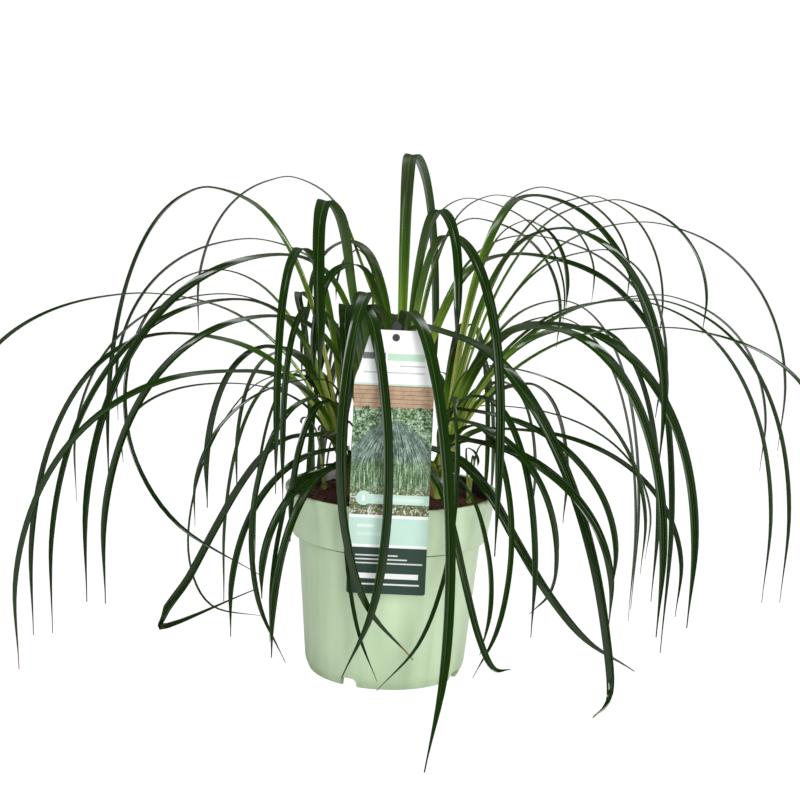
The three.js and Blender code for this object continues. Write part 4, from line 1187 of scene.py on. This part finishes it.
def curve(a, b, c, steps):
    """An arc from a to c that is drawn out towards b."""
    t = np.linspace(0, 1, steps)[:, None]
    a, b, c = (np.array(point, float) for point in (a, b, c))
    return ((1 - t) ** 2 * a + 2 * t * (1 - t) * b + t * t * c).tolist()


def label_outline():
    """The card's edge as x and height below its top, from the foot round to the left."""
    half, head = LABEL["width"] / 2, LABEL["head_width"] / 2
    low, drop, c = -LABEL["height"], -LABEL["shoulder"], LABEL["corner"]
    right = curve((half - c, low), (half, low), (half, low + c), 7)
    right += curve((half, drop - 6), (half, drop), (half - 3.5, drop + 8), 9)
    right += curve((head + c, -c), (head + 0.5, 0), (head - c, 0), 7)
    return right + [(-x, z) for x, z in right[::-1]]


def extruded(outline, holes, depth, bevel):
    """Points and faces of a flat plate with softened edges, in x and z, with y its thickness."""
    loops = [np.array(loop, float) for loop in (outline, *holes)]
    flat = np.vstack(loops)
    edges, inset, start = [], [], 0
    for loop in loops:
        edges += [(start + k, start + (k + 1) % len(loop)) for k in range(len(loop))]
        way = unit(np.roll(loop, -1, 0) - np.roll(loop, 1, 0))
        inset.append(loop + np.stack([-way[:, 1], way[:, 0]], 1) * bevel)
        start += len(loop)
    filled = geometry.tessellate_polygon([[Vector((*p, 0)) for p in loop] for loop in inset])
    inset = np.vstack(inset)
    count = len(flat)
    layers = [(inset, 0), (flat, bevel), (flat, depth - bevel), (inset, depth)]
    points = np.vstack([np.column_stack([layer[:, 0], np.full(count, y), layer[:, 1]])
                        for layer, y in layers])
    faces = []
    for a, b, c in filled:
        ahead, aside = inset[b] - inset[a], inset[c] - inset[a]
        front = (a, b, c) if ahead[0] * aside[1] > ahead[1] * aside[0] else (a, c, b)
        faces += [front, [3 * count + k for k in front[::-1]]]
    for layer in range(3):
        low, high = layer * count, (layer + 1) * count
        faces += [(low + b, low + a, high + a, high + b) for a, b in edges]
    return points, faces


def make_label(materials):
    r, drop = LABEL["hole_radius"], LABEL["hole_drop"]
    hole = [(r * math.cos(t), r * math.sin(t) - drop)
            for t in np.linspace(2 * math.pi, 0, 32, endpoint=False)]
    points, faces = extruded(label_outline(), [hole], LABEL["thickness"], 0.12)
    points += [LABEL["x"], LABEL["back"] - LABEL["thickness"], LABEL["top"]]
    made = make_piece("hang_label", points, faces, materials)
    made.data.set_sharp_from_angle(angle=math.radians(35))
    return made


def stake_middle(height):
    """Where the middle of the stake's thickness lies: it leans back into the soil."""
    return LABEL["back"] + GAP + STAKE["thickness"] / 2 + STAKE["lean"] * (LABEL["top"] - height)


def make_stake(materials):
    half = STAKE["width"] / 2
    crown = LABEL["top"] + STAKE["above"] - half
    foot = STAKE["foot"] - crown
    outline = [(-half, foot + 14), (0, foot), (half, foot + 14)]
    outline += [(half * math.cos(t), half * math.sin(t)) for t in np.linspace(0, math.pi, 25)]
    points, faces = extruded(outline, [], STAKE["thickness"], 0.35)
    tilt = math.atan(STAKE["lean"])
    off = points[:, 1] - STAKE["thickness"] / 2
    up = points[:, 2].copy()
    points[:, 1] = stake_middle(crown) + off * math.cos(tilt) - up * math.sin(tilt)
    points[:, 2] = crown + up * math.cos(tilt) + off * math.sin(tilt)
    points[:, 0] += LABEL["x"]
    height = LABEL["top"] - LABEL["hole_drop"]
    back, face = stake_middle(height), LABEL["back"] - LABEL["thickness"] - GAP
    reach, cap = back - face, STAKE["head_thickness"]
    line = rounded([(0, 0, 0), (STAKE["neck"], 0, 0.1), (STAKE["neck"], reach, 0.2),
                    (STAKE["head"], reach, 0.2), (STAKE["head"], reach + cap, 0.8),
                    (1.2, reach + cap, 0.3), (0.9, reach + cap - 0.3, 0.2),
                    (0, reach + cap - 0.3, 0)])
    knob, knob_faces = turned_mesh(line, 48)
    knob = np.column_stack([LABEL["x"] + knob[:, 0], back - knob[:, 2], height + knob[:, 1]])
    faces = [*faces, *([k + len(points) for k in face] for face in knob_faces)]
    made = make_piece("label_holder", np.vstack([points, knob]), faces, materials)
    made.data.set_sharp_from_angle(angle=math.radians(40))
    return made


LABEL_LINE = 276  # where the head's white ends
PANEL_FOOT = 163.7
BAND_TOP = 161
BAND_FOOT = 138
BASE_TOP = 135.5
BADGE = (-22, 178, 6.3)  # middle and radius of the round badge
STRIP = (173.2, 181.4)  # and foot and top of the strip beside it
BACK_FENCE = 255  # where the panel's hedge gives way to its boards
BOARD = 3.6
TUFT_TOP = 243
GROUND_TOP = 190
# Plain bars where a label has its lines of words: left, right, foot, top, ink and its strength.
LABEL_BARS = (
    (-27, -8, 296.5, 302, "ink", 0.85),
    (-6.5, 25, 295.5, 301.5, "green", 0.85),
    (4, 25, 290.6, 291.8, "ink", 0.4),
    (-26, 25, 284.8, 286.0, "ink", 0.4),
    (-26.5, -12, 152.7, 155.7, "white", 0.55),
    (-26.5, -2, 145.8, 148.6, "white", 0.35),
    (-27, 9, 128.0, 129.2, "white", 0.75),
    (-27, 17, 124.6, 125.8, "white", 0.75),
    (-27, 30, 121.2, 122.4, "white", 0.75),
    (-27, 27, 108.4, 113, "white", 0.9),
    (-27.5, 28, 102.8, 104.2, "white", 0.8),
    (-12, 29, 175.6, 178.8, "white", 0.35),
)


def label_material(look):
    finish = Finish("printed_card")
    x, y, z = finish.parts(finish.place())
    x = x - LABEL["x"]
    spot = finish.vector(x, 0.0, z)
    sheen = finish.noise((x * 0.03, 0.0, z * 0.02), 1.0)
    card = finish.mix(sheen.step(0.35, 0.75) * 0.5, look.card, look.card_shade)
    fine = finish.noise(spot, 4.0, 0.7, scale=0.5)
    coarse = finish.noise(spot, 3.0, 0.6, scale=0.16)
    crown = z + x * x * 0.022
    spread = 1 - 0.75 * crown.step(214.0, 250.0)
    strokes = finish.noise((x / spread * 0.9, 3.0, z * 0.06), 5.0, 0.78)
    tuft = finish.ramp(strokes + (coarse - 0.5) * 0.3, (0.38, look.panel_dark), (0.5, look.panel_blue),
                       (0.62, look.panel_light))
    lawn = finish.ramp(strokes + (fine - 0.5) * 0.3, (0.36, look.panel_dark), (0.5, look.panel_grass),
                       (0.64, look.panel_light))
    low = 1 - z.step(196.0, 222.0)
    tuft = finish.mix((coarse + low * 0.5).step(0.66, 0.86), tuft, lawn)
    ground = finish.ramp(fine + (coarse - 0.5) * 0.5, (0.34, look.panel_dark), (0.44, look.panel_grass),
                         (0.52, look.panel_warm), (0.58, look.panel_light), (0.8, look.card))
    hedge = finish.ramp(fine + (coarse - 0.5) * 0.7, (0.36, look.panel_dark), (0.48, look.panel_grass),
                        (0.66, look.panel_light))
    boards = finish.math("FRACT", z / BOARD)
    wall = finish.mix(1 - boards.step(0.0, 0.3), look.panel_wall, look.panel_warm)
    wall = finish.mix(coarse.step(0.35, 0.7) * 0.5, wall, look.panel_warm)
    over = (z + (coarse - 0.5) * 14).step(BACK_FENCE, BACK_FENCE + 1.5)
    behind = finish.mix(over, hedge, wall)
    over = (crown + (strokes - 0.5) * 9).step(TUFT_TOP, TUFT_TOP + 2)
    picture = finish.mix(over, tuft, behind)
    over = (z + (strokes - 0.5) * 30).step(GROUND_TOP - 10, GROUND_TOP)
    picture = finish.mix(1 - over, picture, ground)
    colour = finish.mix(z.within(PANEL_FOOT, LABEL_LINE, 0.25), card, picture)
    colour = finish.mix(z.within(LABEL_LINE - 1.4, LABEL_LINE, 0.3), colour, look.mint)
    colour = finish.mix(z.within(BAND_FOOT, BAND_TOP, 0.25), colour, look.mint)
    colour = finish.mix(1 - z.step(BASE_TOP - 0.25, BASE_TOP + 0.25), colour, look.base)
    strip = z.within(*STRIP, 0.25) * (x - BADGE[0]).step(-0.2, 0.2)
    colour = finish.mix(strip, colour, look.mint)
    badge = finish.node("ShaderNodeVectorMath", {"operation": "DISTANCE"},
                        {0: spot, 1: (BADGE[0], 0, BADGE[1])}, output="Value")
    colour = finish.mix(1 - badge.step(BADGE[2] - 0.2, BADGE[2] + 0.2), colour, look.mint)
    drop = abs(x - BADGE[0]).step(0.9, 1.3) + abs(z - BADGE[1]).step(2.4, 2.9)
    colour = finish.mix(1 - drop.step(0.0, 1.0), colour, look.card)
    inks = {"ink": look.ink, "green": look.green_bar, "white": look.card}
    for left, right, foot, top, ink, share in LABEL_BARS:
        bar = x.within(left, right, 0.2) * z.within(foot, top, 0.2)
        colour = finish.mix(bar * share, colour, inks[ink])
    front = 1 - y.step(LABEL["back"] - 0.6, LABEL["back"] - 0.4)
    colour = finish.mix(front, card, colour)
    skin = finish.noise(spot, scale=0.9)
    bow = finish.noise((x * 0.02, 0.0, z * 0.012), 0.0)
    bump = finish.bump(bow * 40 + skin * 0.1, 0.12, 0.6)
    roughness = look.roughness + (skin - 0.5) * 0.08
    return finish.shade(colour, roughness, bump, 0.3)


def stake_material(look):
    finish = Finish("black_plastic")
    x, y, z = finish.parts(finish.place())
    scuff = finish.noise((x * 1.6, y * 1.6, z * 0.14), 5.0, 0.75)
    grain = finish.noise((x * 6, y * 6, z * 6))
    colour = finish.mix(scuff.step(0.5, 0.8) * 0.6, look.plastic, look.scuff)
    muddy = (1 - z.step(SOIL_TOP, SOIL_TOP + 9)) * grain.step(0.4, 0.7)
    colour = finish.mix(muddy, colour, look.mud)
    roughness = 0.38 + scuff * 0.2
    return finish.shade(colour, roughness, finish.bump(grain, 0.05, 0.5))


# --------------------------------------------------------------------------- settings

def tint(red, green, blue):
    """A colour as it looks on a screen, 0 to 255, in the light values that shaders use."""
    def light(value):
        value /= 255
        return value / 12.92 if value <= 0.04045 else ((value + 0.055) / 1.055) ** 2.4
    return light(red), light(green), light(blue)


def colour_property(name, description, *screen):
    return bpy.props.FloatVectorProperty(name=name, description=description, subtype="COLOR",
                                         default=tint(*screen), min=0, max=1)


def amount_property(name, description, default):
    return bpy.props.FloatProperty(name=name, description=description, subtype="FACTOR",
                                   default=default, min=0, max=1)


def length_property(name, description, millimetres):
    return bpy.props.FloatProperty(name=name, description=description, subtype="DISTANCE",
                                   unit="LENGTH", default=millimetres * MM, min=0)


class LeafLook(bpy.types.PropertyGroup):
    """The leaves' and sheaths' colours and surface."""

    foot: colour_property("Foot", "Blade inside and just over its sheath", 204, 210, 112)
    young: colour_property("Young green", "Lowest part of the rising half", 120, 152, 44)
    rise: colour_property("Rising green", "Middle of the rising half, and the underside", 52, 86, 12)
    crest: colour_property("Crest green", "Blade where it arches over", 37, 49, 16)
    blade: colour_property("Blade green", "Upper face of the falling half", 19, 41, 5)
    midrib: colour_property("Midrib", "Pale line along the groove", 84, 112, 60)
    dry: colour_property("Dry brown", "Withered tips and scales", 128, 88, 52)
    straw: colour_property("Straw", "Palest part of a withered scale", 190, 160, 108)
    husk: colour_property("Husk", "Darkest part of a sheath", 74, 50, 30)
    roughness: amount_property("Roughness", "How dull the blades are", 0.15)
    vein_relief: length_property("Vein relief", "Height of the veins", 0.035)


class PotLook(bpy.types.PropertyGroup):
    """The pot's plastic and smoothness."""

    outside: colour_property("Outside", "Sage plastic", 176, 197, 162)
    light: colour_property("Outside, light", "Palest clouds in the plastic", 192, 211, 178)
    shade: colour_property("Outside, deep", "Deepest flow streaks in the plastic", 152, 174, 140)
    # Colour of the painted shade under the collar's ledge.
    seam: colour_property("Seam", "Painted shade under the collar's ledge", 96, 118, 84)
    dust: colour_property("Dust", "Dirt near the foot", 172, 178, 150)
    inside: colour_property("Lining", "Black inner layer", 14, 15, 15)
    # Colour of the painted glints on the lining.
    glint: colour_property("Lining, painted glints", "Painted glints on the lining", 46, 48, 46)
    mud: colour_property("Mud", "Dried mix on the lining", 62, 38, 26)
    roughness: amount_property("Roughness", "How dull the outside is", 0.4)
    sides: bpy.props.IntProperty(name="Sides", description="Facets round the pot", default=192,
                                 min=24, max=384)


class SoilLook(bpy.types.PropertyGroup):
    """The potting mix's colours."""

    dark: colour_property("Dark", "Damp peat", 36, 18, 13)
    mix: colour_property("Mix", "Most of the soil", 82, 42, 30)
    light: colour_property("Light", "Dry crumbs", 112, 66, 44)
    fibre: colour_property("Fibre", "Fine fibres in the mix", 96, 58, 42)
    bark: colour_property("Bark", "Chips of bark", 104, 62, 36)


class LabelLook(bpy.types.PropertyGroup):
    """The card's print and the stake's plastic."""

    card: colour_property("Card", "Bare white card", 236, 238, 238)
    card_shade: colour_property("Card, shaded", "Slight cloud in the white", 220, 224, 225)
    mint: colour_property("Mint", "Pale bands", 186, 217, 203)
    base: colour_property("Base", "Dark band at the foot", 30, 57, 43)
    ink: colour_property("Ink", "Darkest print", 46, 48, 54)
    green_bar: colour_property("Green bar", "Heading", 168, 206, 180)
    panel_dark: colour_property("Panel, dark", "Shade in the panel", 24, 32, 28)
    panel_grass: colour_property("Panel, grass", "Green of the panel", 74, 112, 58)
    panel_blue: colour_property("Panel, blue", "Cool green of the panel", 74, 102, 92)
    panel_light: colour_property("Panel, light", "Palest strokes of the panel", 190, 206, 190)
    panel_wall: colour_property("Panel, wall", "Warm boards of the panel", 184, 156, 128)
    panel_warm: colour_property("Panel, warm", "Deepest warm tone of the panel", 124, 94, 72)
    plastic: colour_property("Stake", "Black plastic", 24, 25, 30)
    scuff: colour_property("Scuffs", "Rubbed black plastic", 58, 60, 64)
    mud: colour_property("Mud", "Mix that clings to the stake", 60, 36, 24)
    roughness: amount_property("Roughness", "How dull the card is", 0.34)


class StageLook(bpy.types.PropertyGroup):
    """Camera, lamps and floor."""

    distance: length_property("Camera distance", "From the point that it looks at", 1600)
    elevation: bpy.props.FloatProperty(name="Camera elevation", description="Over the horizon",
                                       subtype="ANGLE", default=math.radians(9.437))
    roll: bpy.props.FloatProperty(name="Camera roll", description="Turn about its own axis",
                                  subtype="ANGLE", default=math.radians(2.454))
    lens: bpy.props.FloatProperty(name="Lens", description="Focal length on a 36 mm sensor",
                                  unit="CAMERA", default=80.92, min=1)
    floor: colour_property("Floor", "Plain pale floor", 250, 250, 250)


SHOOT_SEED = 40

GROUPS = {"sedge_leaves": LeafLook, "sedge_pot": PotLook, "sedge_soil": SoilLook,
          "sedge_label": LabelLook, "sedge_stage": StageLook}


# --------------------------------------------------------------------------- stage

WHITE = (1, 1, 1)
FLOOR_HALF = 60000
FLOOR_GLOW = 1.07
FLOOR_SHOWN = 0.94  # share of that glow in what the camera sees of the floor
WORLD_LIGHT = 0.12
WORLD_SHOWN = 1.05
CAMERA_AIM = (4.3, 0, 246.4)

# Each lamp: name, place and the point that it faces, in metres, then its width, height, watts
# and whether it shows as a reflection.
LAMPS = (
    ("overhead_softbox", (-0.1, -0.2, 2.3), (0, 0, 0.2), 1.0, 0.8, 38, True),
    ("front_softbox", (0.4, -2.4, 1.0), (0, 0, 0.25), 0.55, 1.3, 41, True),
    ("left_softbox", (-1.15, -0.4, 0.44), (0, 0, 0.3), 0.5, 0.84, 1.8, True),
    ("right_softbox", (1.15, -0.35, 0.44), (0, 0, 0.3), 0.5, 0.84, 6, True),
    ("back_softbox", (0.6, 2.0, 1.4), (0, 0, 0.3), 1.2, 0.6, 16, False),
)


def make_lamp(scene, name, place, aim, width, height, watts, reflected):
    data = bpy.data.lights.new(name, "AREA")
    data.shape, data.size, data.size_y, data.energy = "RECTANGLE", width, height, watts
    lamp = bpy.data.objects.new(name, data)
    lamp.location = place
    lamp.rotation_euler = (Vector(aim) - Vector(place)).to_track_quat("-Z", "Y").to_euler()
    lamp.visible_camera = False
    lamp.visible_glossy = reflected
    scene.collection.objects.link(lamp)


def make_floor(look):
    """Pale, lit like the rest of the stage, and nearly plain white as the camera sees it."""
    finish = Finish("pale_floor")
    x, y, _ = finish.parts(finish.place())
    mottle = finish.noise((x * 0.004, y * 0.004))
    colour = finish.mix((mottle - 0.5) * 0.04, look.floor, WHITE)
    material = finish.shade(colour, 0.9)
    glow = finish.node("ShaderNodeEmission", None, {"Color": WHITE, "Strength": FLOOR_GLOW})
    lit = Wire(finish, finish.shader.outputs[0])
    share = finish.camera_ray() * FLOOR_SHOWN
    finish.output("Material Output",
                  finish.node("ShaderNodeMixShader", None, {0: share, 1: lit, 2: glow}))
    half = FLOOR_HALF
    corners = [(-half, -half, 0), (half, -half, 0), (half, half, 0), (-half, half, 0)]
    floor = make_piece("floor", corners, [(0, 1, 2, 3)], [material])


def make_world(scene):
    """A little light from all round, and white behind everything as the camera sees it."""
    scene.world = bpy.data.worlds.new("studio")
    scene.world.use_nodes = True
    graph = Graph(scene.world.node_tree)
    lit = graph.tree.nodes["Background"]
    graph.put(lit.inputs["Color"], WHITE)
    graph.put(lit.inputs["Strength"], WORLD_LIGHT)
    shown = graph.node("ShaderNodeBackground", None, {"Color": WHITE, "Strength": WORLD_SHOWN})
    sockets = {0: graph.camera_ray(), 1: Wire(graph, lit.outputs[0]), 2: shown}
    graph.output("World Output", graph.node("ShaderNodeMixShader", None, sockets))


def make_camera(scene, look):
    """Level with a hand-held view: over the pot's front, a little rolled."""
    aim = Vector(CAMERA_AIM) * MM
    back = Vector((0, -math.cos(look.elevation), math.sin(look.elevation)))
    level = Vector((1, 0, 0))
    upward = level.cross(-back)
    right = level * math.cos(look.roll) + upward * math.sin(look.roll)
    head = upward * math.cos(look.roll) - level * math.sin(look.roll)
    data = bpy.data.cameras.new("view")
    data.sensor_width, data.lens = 36, look.lens
    data.clip_start, data.clip_end = 0.05, 200
    camera = bpy.data.objects.new("view", data)
    camera.matrix_world = (Matrix.Translation(aim + back * look.distance)
                           @ Matrix((right, head, back)).transposed().to_4x4())
    scene.collection.objects.link(camera)
    scene.camera = camera


# --------------------------------------------------------------------------- operators

class BuildPot(bpy.types.Operator):
    """Builds the pot, sage outside and black inside"""

    bl_idname = "sedge.pot"
    bl_label = "Pot"

    def execute(self, context):
        look = context.scene.sedge_pot
        made = make_pot([pot_outside_material(look), pot_inside_material(look)], look.sides)
        wear(made, "pot_plastic", "pot")
        return {"FINISHED"}


class BuildSoil(bpy.types.Operator):
    """Builds the potting mix with its crumbs and chips of bark"""

    bl_idname = "sedge.soil"
    bl_label = "Soil"

    def execute(self, context):
        wear(make_soil([soil_material(context.scene.sedge_soil)]), "potting_soil", "soil")
        return {"FINISHED"}


class BuildLabel(bpy.types.Operator):
    """Builds the hang label and the stake that holds it"""

    bl_idname = "sedge.label"
    bl_label = "Label and stake"

    def execute(self, context):
        look = context.scene.sedge_label
        wear(make_label([label_material(look)]), "label_card", "label")
        wear(make_stake([stake_material(look)]), "stake_plastic", "label_stake")
        return {"FINISHED"}


class BuildShoots(bpy.types.Operator):
    """Builds every shoot, with its blades and the sheath that they leave from"""

    bl_idname = "sedge.shoots"
    bl_label = "Shoots"

    def execute(self, context):
        look = context.scene.sedge_leaves
        materials = [leaf_material(look), sheath_material(look)]
        leaves = settled_leaves()
        for number, shoot in enumerate(SHOOTS):
            draw = np.random.default_rng(SHOOT_SEED + number)
            growth = Growth()
            add_sheath(growth, shoot, draw)
            for leaf in leaves:
                if leaf["shoot"] == shoot:
                    add_blade(growth, leaf, draw)
            wear(growth.finish(f"{shoot}_leaves", materials), "leaf", f"{shoot}_shoot")
        return {"FINISHED"}


class BuildStage(bpy.types.Operator):
    """Lays the floor and sets the lamps and the camera"""

    bl_idname = "sedge.stage"
    bl_label = "Stage"

    def execute(self, context):
        scene, look = context.scene, context.scene.sedge_stage
        scene.view_settings.view_transform = "Standard"
        make_floor(look)
        make_world(scene)
        for lamp in LAMPS:
            make_lamp(scene, *lamp)
        make_camera(scene, look)
        return {"FINISHED"}


OPERATORS = (BuildPot, BuildSoil, BuildLabel, BuildShoots, BuildStage)


class SedgePanel(bpy.types.Panel):
    """Lists the steps that build the plant, with their settings"""

    bl_idname = "VIEW3D_PT_sedge"
    bl_label = "Potted sedge"
    bl_space_type = "VIEW_3D"
    bl_region_type = "UI"
    bl_category = "Sedge"

    def draw(self, context):
        for operator in OPERATORS:
            self.layout.operator(operator.bl_idname)
        for key, group in GROUPS.items():
            box = self.layout.box()
            box.label(text=group.__name__)
            for name in group.__annotations__:
                box.prop(getattr(context.scene, key), name)


def register():
    for each in (*GROUPS.values(), *OPERATORS, SedgePanel):
        bpy.utils.register_class(each)
    for key, group in GROUPS.items():
        setattr(bpy.types.Scene, key, bpy.props.PointerProperty(type=group))


def unregister():
    for key in GROUPS:
        delattr(bpy.types.Scene, key)
    for each in (SedgePanel, *reversed(OPERATORS), *reversed(GROUPS.values())):
        bpy.utils.unregister_class(each)


def main():
    register()
    for operator in OPERATORS:
        getattr(bpy.ops.sedge, operator.bl_idname.split(".")[1])()


if __name__ == "__main__":
    main()
